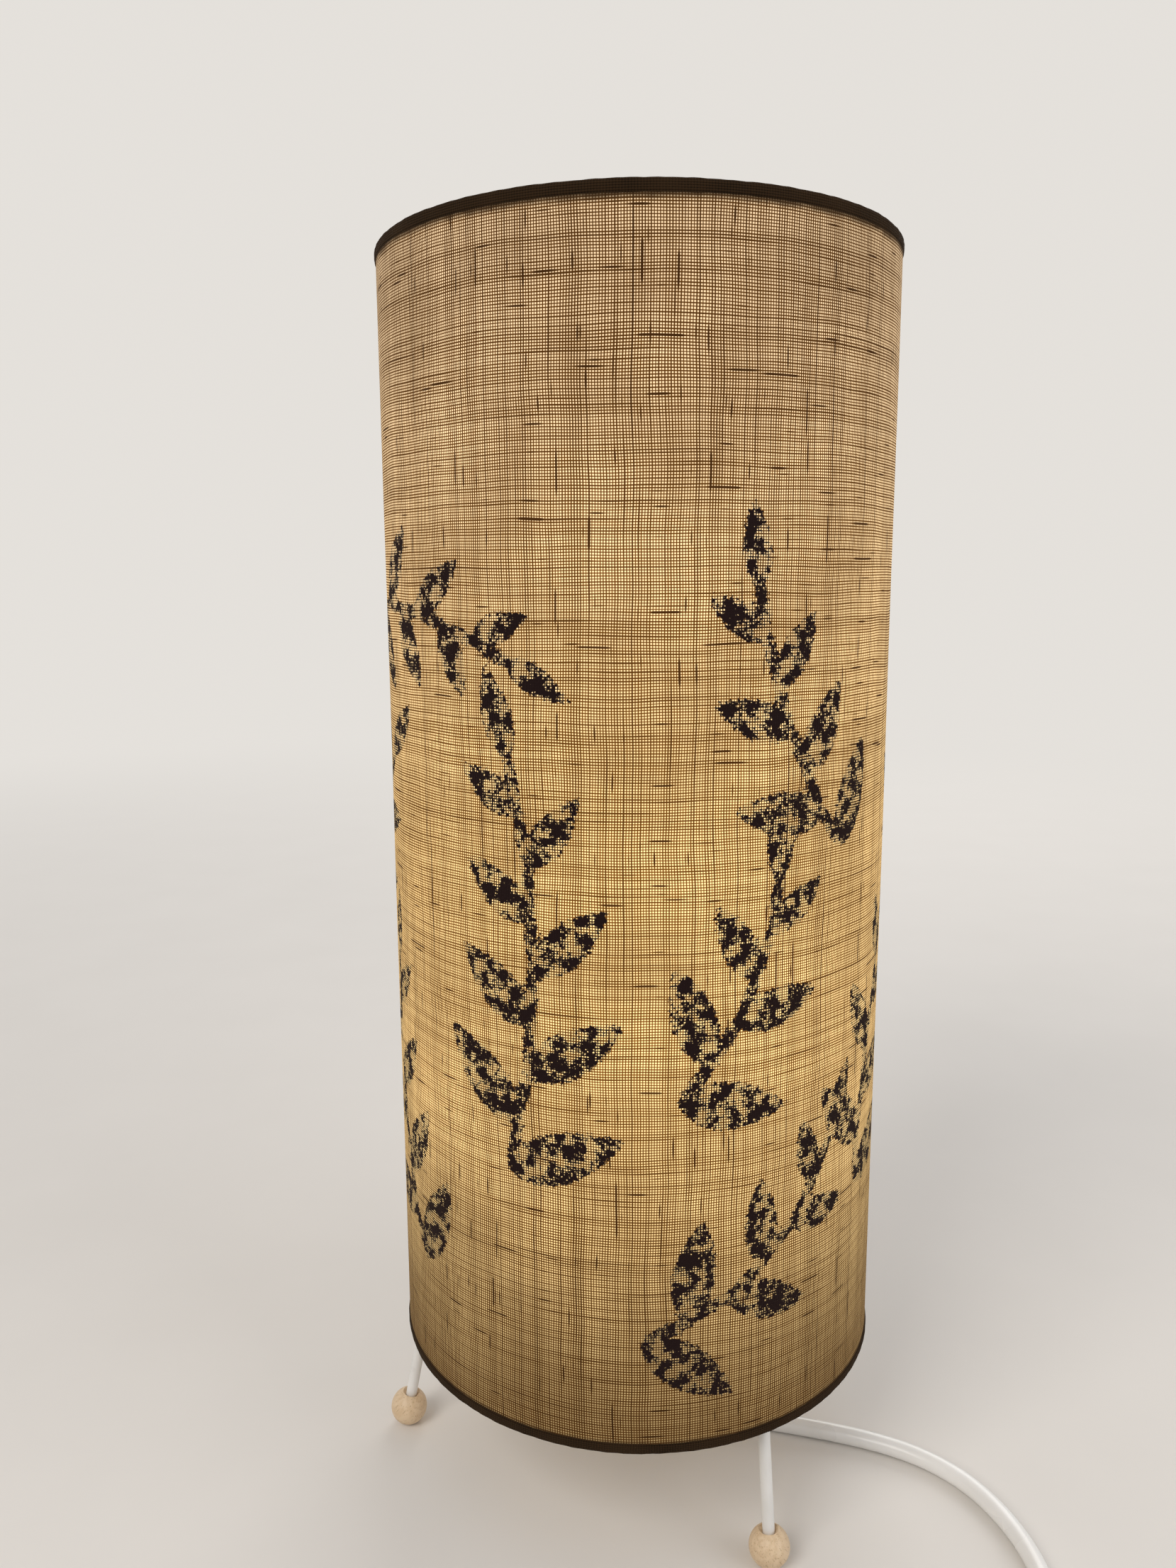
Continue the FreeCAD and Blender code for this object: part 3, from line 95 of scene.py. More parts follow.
lens = bpy.data.cameras.new("camera")
lens.sensor_fit = "HORIZONTAL"
lens.sensor_width = SENSOR_MM
lens.lens = FOCAL_PIXELS * SENSOR_MM / PICTURE_WIDTH
lens.clip_start = 0.01
camera = bpy.data.objects.new("camera", lens)
scene.collection.objects.link(camera)
turned = Matrix((right, upward, -ahead)).transposed()
camera.matrix_world = Matrix.Translation(CAMERA_PLACE) @ turned.to_4x4()
scene.camera = camera
print(f"lens {lens.lens:.1f} mm")

# %% [markdown]
# ## Tools for finishes
#
# Every finish is a small network of nodes. They could be laid out one call at a time, but the same few
# steps come back in each: a noise, a sum, a soft threshold, a mix of two colours. So each gets a short
# function that returns the socket that the next one reads.

# %% Helpers for shader nodes
class Finish:
    """A material with a Principled shader, whose nodes are added one by one."""

    def __init__(self, name, **sockets):
        self.material = bpy.data.materials.new(name)
        self.material.use_nodes = True
        self.tree = self.material.node_tree
        self.shader = self.tree.nodes["Principled BSDF"]
        self.place = self.tree.nodes.new("ShaderNodeTexCoord")
        for socket, value in sockets.items():
            self.shader.inputs[socket.replace("_", " ")].default_value = value

    def node(self, kind, inputs=(), **settings):
        made = self.tree.nodes.new("ShaderNode" + kind)
        for setting, value in settings.items():
            setattr(made, setting, value)
        for key, value in dict(inputs).items():
            self.feed(made.inputs[key], value)
        return made

    def feed(self, socket, value):
        if isinstance(value, bpy.types.NodeSocket):
            self.tree.links.new(value, socket)
        elif value is not None:
            socket.default_value = value

    def objects(self, scale=(1, 1, 1), turn=(0, 0, 0), centre=(0, 0, 0)):
        """Object coordinates, turned and stretched about a centre."""
        moved = self.node("VectorMath", {0: self.place.outputs["Object"], 1: centre}, operation="SUBTRACT")
        return self.node("Mapping", {"Vector": moved.outputs[0], "Rotation": turn, "Scale": scale}).outputs[0]

    def noise(self, vector, scale, detail=2, rough=0.5, dimensions="3D"):
        inputs = {"Vector": vector, "Scale": scale, "Detail": detail, "Roughness": rough}
        return self.node("TexNoise", inputs, noise_dimensions=dimensions).outputs[0]

    def math(self, operation, first, second=None, clamp=False):
        return self.node("Math", {0: first, 1: second}, operation=operation, use_clamp=clamp).outputs[0]

    def fade(self, value, start, end, low=0, high=1):
        """Goes smoothly from low to high as value goes from start to end."""
        inputs = {"Value": value, "From Min": start, "From Max": end, "To Min": low, "To Max": high}
        return self.node("MapRange", inputs, interpolation_type="SMOOTHSTEP").outputs[0]

    def mix(self, share, first, second, blend_type="MIX"):
        mixed = self.node("Mix", {0: share, 6: first, 7: second}, data_type="RGBA", blend_type=blend_type)
        return mixed.outputs[2]

    def surface(self, colour=None, rough=None, height=None, depth=0.0002, glow=None):
        """Joins what was made to the shader."""
        self.feed(self.shader.inputs["Base Color"], colour)
        self.feed(self.shader.inputs["Roughness"], rough)
        if glow is not None:
            self.feed(self.shader.inputs["Emission Color"], glow)
            self.shader.inputs["Emission Strength"].default_value = 1
        if height is not None:
            bump = self.node("Bump", {"Height": height, "Distance": depth, "Strength": 1.0})
            self.feed(self.shader.inputs["Normal"], bump.outputs[0])
        return self.material


def rgb(red, green, blue):
    return (red, green, blue, 1)


def coat(material, *names):
    """Gives CAD parts a finish."""
    for name in names:
        nodes[name].data.materials.clear()
        nodes[name].data.materials.append(material)
    print(f"{material.name} on {', '.join(names)}")


# %% [markdown]
# ## Tools for modelling
#
# An operator works on everything that is selected, and the CAD parts come in selected. So each new piece
# starts with nothing selected, and ends with its place in its mesh and its own origin at the world's, as
# the CAD parts have it.

# %% Helpers for meshes
def alone(piece=None):
    """Leaves only this piece selected and active."""
    if bpy.context.object and bpy.context.object.mode != "OBJECT":
        bpy.ops.object.mode_set(mode="OBJECT")
    bpy.ops.object.select_all(action="DESELECT")
    if piece:
        piece.select_set(True)
        bpy.context.view_layer.objects.active = piece
    return piece


def named(name, material):
    """Names the piece just made, puts its place in its mesh, and gives it its finish and slot."""
    piece = alone(bpy.context.object)
    piece.name = piece.data.name = name
    bpy.ops.object.transform_apply(location=True, rotation=True, scale=True)
    piece.data.materials.clear()
    piece.data.materials.append(material)
    return piece


def modified(piece, kind, **settings):
    """Adds a modifier and applies it."""
    alone(piece)
    modifier = piece.modifiers.new(kind.lower(), kind)
    for setting, value in settings.items():
        setattr(modifier, setting, value)
    bpy.ops.object.modifier_apply(modifier=modifier.name)
    return piece


def count(piece):
    triangles = sum(len(face.vertices) - 2 for face in piece.data.polygons)
    print(f"{piece.name}: {triangles} triangles")


# %% [markdown]
# ## The cord
#
# A round white cord comes straight down out of the stand, bends to the table, and runs in a wide curve to a
# rocker switch. Its other half lies put away as a coil of two layers under a tie, and ends in the plug. A
# tube along straight runs would look like bent wire, so the cord is one smooth curve, pulled towards a few
# control points and no more.

# %% Cord finish
MM = 0.001
CORD_RADIUS = 3 * MM

white_cord = Finish("cord_white", Roughness=0.3, Coat_Weight=0.25, Coat_Roughness=0.15)
cloudy = white_cord.noise(white_cord.objects(), 60, 3)
smudges = white_cord.noise(white_cord.objects(), 90, 1)
skin = white_cord.noise(white_cord.objects(), 260, 1)
white_cord.surface(
    colour=white_cord.mix(white_cord.fade(cloudy, 0.35, 0.7), rgb(0.82, 0.81, 0.78), rgb(0.86, 0.85, 0.83)),
    rough=white_cord.fade(smudges, 0.3, 0.7, 0.26, 0.34),
    height=skin, depth=0.000012)


def laid(name, points):
    """A round cord on a smooth curve that follows its control points, which are in millimetres."""
    curve = bpy.data.curves.new(name, "CURVE")
    curve.dimensions = "3D"
    spline = curve.splines.new("NURBS")
    spline.points.add(len(points) - 1)
    for point, place in zip(spline.points, points):
        point.co = (*(value * MM for value in place), 1)
    spline.order_u = 3
    spline.use_endpoint_u = True
    spline.resolution_u = 6
    curve.bevel_depth = CORD_RADIUS
    curve.bevel_resolution = 5
    curve.use_fill_caps = True
    curve.materials.append(white_cord.material)
    piece = bpy.data.objects.new(name, curve)
    scene.collection.objects.link(piece)
    print(f"{name}: {len(points)} control points")
    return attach(piece, "stand")


# %% First half: from the lamp to the switch
lamp_cord = laid("lamp_cord", [
    (0, 0, 40), (0, 0, 22.8), (20, -2.3, 3), (45.7, -5.2, 3), (87.4, -15.6, 3), (109.4, -31.0, 3),
    (120.8, -54.3, 3), (123.4, -79.0, 3), (118.49, -102.5, 7), (107.49, -121.56, 7)])
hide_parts("cord_to_switch")

# %% [markdown]
# The coil goes in on the table and comes out again on top. Each half turn is half a pitch tighter or wider
# than the last. The radius eases from one half turn to the next as a cosine, which is what two half circles
# with shifted centres do, and one half turn climbs to the second layer.

# %% Second half: the coil and the plug
COIL_CENTRE = (20.4, -180.4)
COIL_START = -30
COIL_RADIUS = 46
COIL_PITCH = 6.5
POINTS_PER_HALF_TURN = 12
LAST_MARK, CLIMB_MARK = 13, 7
POLYGON_SHRINK = math.cos(math.pi / POINTS_PER_HALF_TURN / 2)


def coil_mark(mark):
    """Radius and height at a half turn, in millimetres."""
    if mark < CLIMB_MARK:
        return COIL_RADIUS - mark * COIL_PITCH / 2, 4
    steps_in = CLIMB_MARK + 1 if mark == CLIMB_MARK else LAST_MARK - mark
    return COIL_RADIUS - steps_in * COIL_PITCH / 2, 4 + COIL_PITCH


turns = []
for step in range(LAST_MARK * POINTS_PER_HALF_TURN + 1):
    mark, part = divmod(step, POINTS_PER_HALF_TURN)
    share = part / POINTS_PER_HALF_TURN
    (radius, height), (next_radius, next_height) = coil_mark(mark), coil_mark(min(mark + 1, LAST_MARK))
    ease = (1 - math.cos(math.pi * share)) / 2
    angle = math.radians(COIL_START - 180 * (mark + share))
    reach = (radius + (next_radius - radius) * ease) / POLYGON_SHRINK
    turns.append((COIL_CENTRE[0] + reach * math.cos(angle), COIL_CENTRE[1] + reach * math.sin(angle),
                  height + (next_height - height) * ease))

plug_cord = laid("plug_cord", [
    (85.49, -159.66, 7), (77.49, -173.52, 7), (69.24, -187.81, 4), *turns,
    (-16.4, -152.2, 10.5), (-8.94, -139.21, 10.5), (2.88, -129.97, 7), (17.30, -125.84, 7)])
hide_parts("cord_to_coil", "cord_coil", "cord_to_plug")
print(f"coil of {len(turns)} points, {2 * (COIL_RADIUS + CORD_RADIUS / MM):.0f} mm across")

# %% [markdown]
# ## The linen
#
# The shade is a flat strip of laminated linen, rolled up round two wire rings and lapped at the back. The
# model is made in the same order: a flat grid as large as the strip, then rolled, then given its thickness.
# The grid keeps the strip's own flat coordinates as its UV map, so threads and print run along the cloth
# wherever it bends. A tube would be quicker, but it would have no lap.

# %% Sizes of the cloth
SHADE_RADIUS = 0.080
SHADE_LOW, SHADE_HIGH = 0.047, 0.397
CLOTH_THICKNESS = 0.0005
LAP = 0.010
# The flat skin ends inside the hems, which are pieces of their own.
INTO_HEM = 0.0012
CLOTH_WIDTH = math.tau * SHADE_RADIUS + LAP
CLOTH_HEIGHT = SHADE_HIGH - SHADE_LOW - 2 * INTO_HEM
CLOTH_LOW = SHADE_LOW + INTO_HEM
COLUMNS, ROWS = 256, 172

alone()
bpy.ops.mesh.primitive_grid_add(x_subdivisions=COLUMNS, y_subdivisions=ROWS, size=1)
cloth = bpy.context.object
bpy.ops.object.mode_set(mode="EDIT")
bpy.ops.transform.resize(value=(CLOTH_WIDTH, CLOTH_HEIGHT, 1), center_override=(0, 0, 0))
bpy.ops.object.mode_set(mode="OBJECT")
flat = np.array([vertex.co for vertex in cloth.data.vertices]) + (CLOTH_WIDTH / 2, CLOTH_HEIGHT / 2, 0)
print(f"flat strip {CLOTH_WIDTH * 1000:.0f} x {CLOTH_HEIGHT * 1000:.0f} mm")

# %% [markdown]
# ## The print
#
# Dark sprays of leaves are block printed on the cloth, scattered and turned at random like cut stems. They
# could be painted on a picture, but shapes worked out as distances stay sharp at any size: each point of
# the grid learns how far it is inside the nearest leaf, and the finish later puts ink where that is more
# than nothing, broken up by the weave.

# %% Leaf sprays as distances
FAR_FROM_INK = 9.0
DEEPEST_INK = 4


def leaf_distance(x, y, root, turn, length, width):
    """Distance to a pointed leaf that grows from its root, negative inside, in millimetres."""
    along = (x - root[0]) * math.cos(turn) + (y - root[1]) * math.sin(turn)
    aside = (y - root[1]) * math.cos(turn) - (x - root[0]) * math.sin(turn)
    share = np.clip(along / length, 0, 1)
    half = width / 2 * np.sin(math.pi * share ** 0.8) ** 0.85
    past = np.maximum(np.maximum(-along, along - length), 0)
    outside = np.hypot(np.maximum(np.abs(aside) - half, 0), past)
    inside = np.clip(half - np.abs(aside), 0, DEEPEST_INK) * (past == 0)
    return outside - inside


def spray_distance(x, y, root, heading, curl, leaves, size):
    """Distance to a bent stem with leaves on alternate sides that grow smaller towards its tip."""
    best = np.full(len(x), FAR_FROM_INK)
    place = np.array(root, float)
    turn = math.radians(heading)
    step = size * 0.42
    for leaf in range(leaves):
        length = size * (1.05 - 0.45 * leaf / leaves)
        side = 1 if leaf % 2 else -1
        leaf_turn = turn + side * math.radians(56 - 14 * leaf / leaves)
        best = np.minimum(best, leaf_distance(x, y, place, leaf_turn, length, length * 0.41))
        best = np.minimum(best, leaf_distance(x, y, place, turn, step * 1.6, 4.0))
        place = place + step * np.array((math.cos(turn), math.sin(turn)))
        turn += math.radians(curl) / leaves
    return np.minimum(best, leaf_distance(x, y, place, turn, size * 0.75, size * 0.27))


# Root across and up the strip in mm, heading, curl, number of leaves, length of the largest leaf in mm.
SPRAYS = [
    (24, 84, 84, 40, 7, 34), (66, 204, 128, -40, 6, 30), (82, 46, 40, 46, 6, 31), (116, 126, 72, -30, 6, 34),
    (178, 40, 120, -38, 7, 33), (146, 244, 4, -34, 6, 30), (218, 84, 76, 30, 8, 36), (258, 36, 20, 46, 6, 33),
    (322, 176, 126, -30, 6, 32), (338, 66, 86, -32, 6, 34), (268, 108, 48, 40, 5, 33),
    (376, 28, 40, 44, 6, 32), (366, 214, 20, 40, 6, 31), (418, 92, 98, 38, 7, 34),
    (452, 184, 66, -40, 6, 30), (478, 40, 66, 44, 6, 33),
]
across, up = flat[:, 0] / MM, flat[:, 1] / MM
ink = np.full(len(flat), FAR_FROM_INK)
for root_x, root_y, heading, curl, leaves, size in SPRAYS:
    ink = np.minimum(ink, spray_distance(across, up, (root_x, root_y), heading, curl, leaves, size))
print_layer = cloth.data.attributes.new("print", "FLOAT", "POINT")
print_layer.data.foreach_set("value", (-ink).astype(np.float32))
print(f"{len(SPRAYS)} sprays, {100 * np.mean(ink < 0):.0f}% of the cloth is printed")

# %% [markdown]
# ## Roll the cloth up
#
# The strip goes round once and a little more. Its last centimetre lies on top of its first one, which is
# the seam at the back. Real linen on a frame is never quite round, so it also gets a slight, slow wave
# that dies out at the rings.

# %% Roll, lap and thicken
def rise(value):
    """Goes smoothly from 0 to 1."""
    value = np.clip(value, 0, 1)
    return value * value * (3 - 2 * value)


WAVE_HEIGHT = 0.00006
UNDER_HEM = 0.00018
CLIMB = 0.004
LAP_GAP = 0.0001

turn = math.pi / 2 - LAP / 2 / SHADE_RADIUS + flat[:, 0] / SHADE_RADIUS
lapped = rise((flat[:, 0] - (CLOTH_WIDTH - LAP - CLIMB)) / CLIMB)
free = np.sin(math.pi * np.clip(flat[:, 1] / CLOTH_HEIGHT, 0, 1)) ** 0.5
waves = np.sin(3 * turn + 9 * flat[:, 1]) + np.sin(7 * turn - 31 * flat[:, 1] + 1.3)
waves += 0.6 * np.sin(13 * turn + 47 * flat[:, 1] + 2.1)
radius = SHADE_RADIUS - UNDER_HEM + WAVE_HEIGHT * free * waves + lapped * (CLOTH_THICKNESS + LAP_GAP)
rolled = np.stack([radius * np.cos(turn), radius * np.sin(turn), CLOTH_LOW + flat[:, 1]], axis=1)
cloth.data.vertices.foreach_set("co", rolled.ravel().astype(np.float32))
cloth.data.update()
modified(cloth, "SOLIDIFY", thickness=CLOTH_THICKNESS, offset=-1)
alone(cloth)
bpy.ops.object.mode_set(mode="EDIT")
bpy.ops.mesh.select_all(action="SELECT")
bpy.ops.mesh.normals_make_consistent(inside=False)
bpy.ops.object.mode_set(mode="OBJECT")
bpy.ops.object.shade_smooth_by_angle(angle=math.radians(40))
count(cloth)

# %% [markdown]
# ## Linen as a finish
#
# Seen against the light, open linen is a grid of dark yarns with bright holes between them. A picture of
# cloth would repeat and blur. Here each yarn is counted along the UV map instead: its number picks how
# thick and how dark it is, a slow noise along it swells it to the slubs that linen is known for, and a
# quicker one makes the few short dark knots. A gentle drift keeps the yarns from running dead straight.

# %% Yarns
THREAD = 0.00077
DRIFT = 2.0
# Lengths along a yarn, counted in yarns.
WARP_SLUB, WEFT_SLUB, KNOT = 150, 90, 22
linen = Finish("shade_linen", Specular_IOR_Level=0.04, Sheen_Weight=0.03, Sheen_Roughness=0.5,
               Sheen_Tint=(0.9, 0.65, 0.4, 1))
flat_place = linen.node("UVMap", uv_map="UVMap").outputs[0]
on_cloth = linen.node("VectorMath", {0: flat_place, 1: (CLOTH_WIDTH / THREAD, CLOTH_HEIGHT / THREAD, 0)},
                      operation="MULTIPLY").outputs[0]
drift = linen.node("TexNoise", {"Vector": on_cloth, "Scale": 0.024, "Detail": 1}, noise_dimensions="2D")
around_nothing = linen.node("VectorMath", {0: drift.outputs["Color"], 1: (0.5, 0.5, 0)}, operation="SUBTRACT")
shifted = linen.node("VectorMath", {0: around_nothing.outputs[0], 1: (DRIFT, DRIFT, 0), 2: on_cloth},
                     operation="MULTIPLY_ADD").outputs[0]
across_yarns, up_yarns = linen.node("SeparateXYZ", {0: shifted}).outputs[:2]


def along_yarn(index, apart, travel, length):
    """A place for noise that runs along one yarn and has nothing to do with the next one's."""
    return linen.node("CombineXYZ", {0: linen.math("MULTIPLY", index, apart),
                                     1: linen.math("DIVIDE", travel, length)}).outputs[0]


def yarns(count_along, travel, slub_length, strength):
    """One set of parallel yarns: the light it lets by, how dark and how round each is, and its number."""
    index = linen.math("FLOOR", count_along)
    offset = linen.math("ABSOLUTE", linen.math("SUBTRACT", linen.math("FRACT", count_along), 0.5))
    own = linen.node("TexWhiteNoise", {"W": index}, noise_dimensions="1D").outputs["Value"]
    slow = linen.noise(along_yarn(index, 17.3, travel, slub_length), 1.0, 3, 0.6, "2D")
    slub = linen.fade(slow, 0.55, 0.76)
    quick = linen.noise(along_yarn(index, 11.9, travel, KNOT), 1.0, 0, 0.5, "2D")
    knot = linen.fade(quick, 0.80, 0.88)
    half = linen.math("ADD", linen.math("MULTIPLY", own, 0.10), linen.math("MULTIPLY", slub, 0.10))
    half = linen.math("ADD", half, linen.math("MULTIPLY", knot, 0.16))
    half = linen.math("ADD", half, 0.150)
    gap = linen.fade(linen.math("SUBTRACT", offset, half), -0.05, 0.07)
    thick = linen.math("POWER", own, 3)
    heavy = linen.math("ADD", linen.math("MULTIPLY", slub, 0.6), linen.math("MULTIPLY", thick, 0.55))
    heavy = linen.math("ADD", linen.math("MULTIPLY", heavy, strength), knot, clamp=True)
    roundness = linen.fade(offset, 0.0, 0.4, 1, 0)
    return gap, heavy, roundness, index


# %% Warp and weft
warp_gap, warp_heavy, warp_round, warp_index = yarns(across_yarns, up_yarns, WARP_SLUB, 1.0)
weft_gap, weft_heavy, weft_round, weft_index = yarns(up_yarns, across_yarns, WEFT_SLUB, 0.75)
hole = linen.math("MULTIPLY", warp_gap, weft_gap)
heavy = linen.math("MAXIMUM", linen.math("MULTIPLY", warp_heavy, linen.math("SUBTRACT", 1, warp_gap)),
                   linen.math("MULTIPLY", weft_heavy, linen.math("SUBTRACT", 1, weft_gap)))
over = linen.math("MULTIPLY", linen.math("MODULO", linen.math("ADD", warp_index, weft_index), 2), 0.5)
crown = linen.math("MAXIMUM", linen.math("MULTIPLY", warp_round, linen.math("ADD", over, 0.5)),
                   linen.math("MULTIPLY", weft_round, linen.math("SUBTRACT", 1, over)))
print(f"linen of {CLOTH_WIDTH / THREAD:.0f} by {CLOTH_HEIGHT / THREAD:.0f} yarns")

# %% [markdown]
# ## Ink
#
# Block printing leaves ink on the crowns of the yarns and misses most of the holes. So the ink is worked out
# twice, once for a yarn and once for a hole, with a ragged edge and with blotches where the block pressed
# harder. One sharp mask would look like a sticker.

# %% Ink on the yarns
inside = linen.node("Attribute", attribute_name="print").outputs["Fac"]
ragged = linen.noise(on_cloth, 0.75, 2, 0.6, "2D")
blotches = linen.noise(on_cloth, 0.16, 3, 0.55, "2D")


def roughened(value, amount):
    """Adds fine ragged noise to a value, as much up as down."""
    return linen.math("ADD", value, linen.math("MULTIPLY", linen.math("SUBTRACT", ragged, 0.5), amount))


printed = linen.fade(roughened(inside, 3.2), -0.25, 0.35)
worn = linen.fade(roughened(blotches, 0.35), 0.34, 0.46)
filled = linen.fade(roughened(blotches, 0.5), 0.455, 0.53)
ink_on_yarn = linen.math("MULTIPLY", printed, linen.math("MAXIMUM", worn, 0.35))
ink_in_hole = linen.math("MULTIPLY", printed, filled)
ink_here = linen.node("Mix", {0: hole, 2: ink_on_yarn, 3: ink_in_hole}, data_type="FLOAT").outputs[0]

# %% [markdown]
# ## Light through the cloth
#
# The lamp is lit, so the cloth glows of its own, most beside the bulb and least at the hems. Light from a
# bulb model would be noisy and slow, and a glow is steady. A yarn dims faster towards the hems than a hole
# does, and the holes turn creamier at the top, so each has its own scale up the shade.

# %% Glow up the shade
YARN_GLOW = [(0.0, 0.06), (0.05, 0.10), (0.13, 0.28), (0.22, 0.64), (0.30, 1.0), (0.46, 0.98), (0.66, 0.75),
             (0.85, 0.42), (1.0, 0.18)]
HOLE_GLOW = [(0.0, 0.20), (0.05, 0.28), (0.13, 0.56), (0.22, 0.89), (0.30, 1.0), (0.46, 1.0), (0.70, 0.88),
             (0.85, 0.84), (1.0, 0.62)]


def glow_by_height(share, stops):
    """A smooth grey scale up the shade."""
    scale = linen.node("ValToRGB", {0: share})
    scale.color_ramp.interpolation = "B_SPLINE"
    while len(scale.color_ramp.elements) < len(stops):
        scale.color_ramp.elements.new(0.5)
    for stop, (position, strength) in zip(scale.color_ramp.elements, stops):
        stop.position = position
        stop.color = rgb(strength, strength, strength)
    return scale.outputs["Color"]


# %% Yarns and holes lit from inside
height = linen.node("SeparateXYZ", {0: linen.place.outputs["Object"]}).outputs[2]
share_up = linen.node("MapRange", {"Value": height, "From Min": SHADE_LOW, "From Max": SHADE_HIGH}).outputs[0]
yarn_light = linen.mix(heavy, rgb(0.195, 0.071, 0.004), rgb(0.045, 0.014, 0.001))
yarn_light = linen.mix(1.0, yarn_light, glow_by_height(share_up, YARN_GLOW), "MULTIPLY")
hole_tint = linen.mix(linen.fade(share_up, 0.45, 1.0), rgb(1.50, 1.09, 0.49), rgb(1.50, 1.12, 0.68))
hole_light = linen.mix(1.0, hole_tint, glow_by_height(share_up, HOLE_GLOW), "MULTIPLY")
lit = linen.mix(hole, yarn_light, hole_light)
clouds = linen.noise(on_cloth, 0.02, 3, 0.55, "2D")
lit = linen.mix(linen.fade(clouds, 0.3, 0.7, 0.22, 0), lit, rgb(0, 0, 0))

# %% [markdown]
# ## Where the cloth is double
#
# Two layers let far less light by than one. So a darker band runs up the lap at the back, and the turned-in
# edge shows as a shade that fades out just past each hem. Both are measured on the flat strip, where they
# are straight, and the edge wavers a little as a cut edge does.

# %% Seam and turned-in edges
share_across, share_along = linen.node("SeparateXYZ", {0: flat_place}).outputs[:2]
LAP_SHARE = LAP / CLOTH_WIDTH
LAP_FADED = LAP_SHARE * 1.04
double = linen.math("ADD", linen.fade(share_across, LAP_SHARE, LAP_FADED, 1, 0),
                    linen.fade(share_across, 1 - LAP_FADED, 1 - LAP_SHARE))
waver = linen.math("MULTIPLY", linen.math("SUBTRACT", linen.noise(on_cloth, 0.09, 4, 0.6, "2D"), 0.5), 0.005)
from_edge = linen.math("SUBTRACT", 0.5, linen.math("ABSOLUTE", linen.math("SUBTRACT", share_along, 0.5)))
turned_in_shade = linen.fade(linen.math("ADD", from_edge, waver), 0.0050, 0.0115, 1, 0)
behind = linen.math("MAXIMUM", linen.math("MULTIPLY", double, 0.6), linen.math("MULTIPLY", turned_in_shade, 0.93))
lit = linen.mix(behind, lit, rgb(0.012, 0.006, 0.002))
lit = linen.mix(ink_here, lit, rgb(0.006, 0.003, 0.003))

# %% The cloth's colour, darkened with painted shade
# Painted shade: the yarns are given the dark tone they show against the lit inside, not the pale tone of
# linen.
shaded_yarn_colour = linen.mix(heavy, rgb(0.095, 0.036, 0.006), rgb(0.046, 0.017, 0.003))
colour = linen.mix(hole, shaded_yarn_colour, rgb(0.100, 0.050, 0.016))
# Painted shade: the base colour is darkened along the turned-in edges beside the hems.
colour = linen.mix(linen.math("MULTIPLY", turned_in_shade, 0.85), colour, rgb(0.024, 0.013, 0.006))
colour = linen.mix(ink_here, colour, rgb(0.008, 0.004, 0.004))
linen.surface(colour=colour, rough=linen.fade(ragged, 0.3, 0.7, 0.78, 0.95),
              height=linen.math("ADD", crown, linen.math("MULTIPLY", ragged, 0.3)), depth=0.00018, glow=lit)
print(f"{len(linen.tree.nodes)} nodes in the linen")

# %% Name the shade
alone(cloth)
named("linen_shade", linen.material)
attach(cloth, "shade")
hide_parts("shade_linen")
print("the linen takes the place of the plain tube")

# %% [markdown]
# ## The hems
#
# At both ends the cloth is folded round a wire ring and glued down inside. Four layers of linen let hardly
# any light by, so the hem is a dark cord-like edge, and that shade is painted into its colour with only a
# faint painted glow. A torus would be too round: the cloth is drawn flat against the ring. So a small
# upright section with rounded corners is spun round the lamp, and small puckers run round it where the
# cloth had to give.

# %% Hem finish
HEM_THREAD = 0.00062
hem = Finish("hem_linen", Specular_IOR_Level=0.05, Sheen_Weight=0.03, Sheen_Roughness=0.5,
             Sheen_Tint=(0.9, 0.65, 0.4, 1))
where = hem.node("SeparateXYZ", {0: hem.place.outputs["Object"]})
round_it = hem.math("ARCTAN2", where.outputs[1], where.outputs[0])
around_yarn = hem.math("MULTIPLY", round_it, SHADE_RADIUS / THREAD)
up_yarn = hem.math("MULTIPLY", where.outputs[2], 1 / HEM_THREAD)
grid = hem.node("CombineXYZ", {0: around_yarn, 1: up_yarn}).outputs[0]
ridge = hem.math("ABSOLUTE", hem.math("SINE", hem.math("MULTIPLY", up_yarn, math.pi)))
rib = hem.math("ABSOLUTE", hem.math("SINE", hem.math("MULTIPLY", around_yarn, math.pi)))
fuzz = hem.noise(grid, 0.9, 3, 0.6, "2D")
worn_patch = hem.noise(grid, 0.05, 2, 0.5, "2D")
raised = hem.math("ADD", hem.math("MULTIPLY", ridge, 0.7), hem.math("MULTIPLY", rib, 0.5))
raised = hem.math("ADD", raised, hem.math("MULTIPLY", fuzz, 0.5))
tone = hem.math("ADD", hem.math("MULTIPLY", raised, 0.5), hem.math("MULTIPLY", worn_patch, 0.5))
tone = hem.fade(tone, 0.3, 1.0)
# Painted shade: the hem's colour is kept near black, and its faint glow is painted light through the cloth.
hem.surface(colour=hem.mix(tone, rgb(0.006, 0.0033, 0.0016), rgb(0.026, 0.014, 0.0065)),
            rough=hem.fade(fuzz, 0.3, 0.7, 0.82, 0.95), height=raised, depth=0.00025,
            glow=hem.mix(tone, rgb(0.001, 0.0005, 0.0001), rgb(0.006, 0.003, 0.001)))

# %% Two rolled hems
HEM_THICK, HEM_TALL = 0.0042, 0.0040
HEM_CORNER = 0.0013
HEM_PROUD, TOP_PROUD = 0.0002, 0.0006
HEM_CIRCLE = SHADE_RADIUS + HEM_PROUD - HEM_THICK / 2
HEM_STEPS = 288
PUCKER_TALL, PUCKER_OUT = 0.022, 0.00004


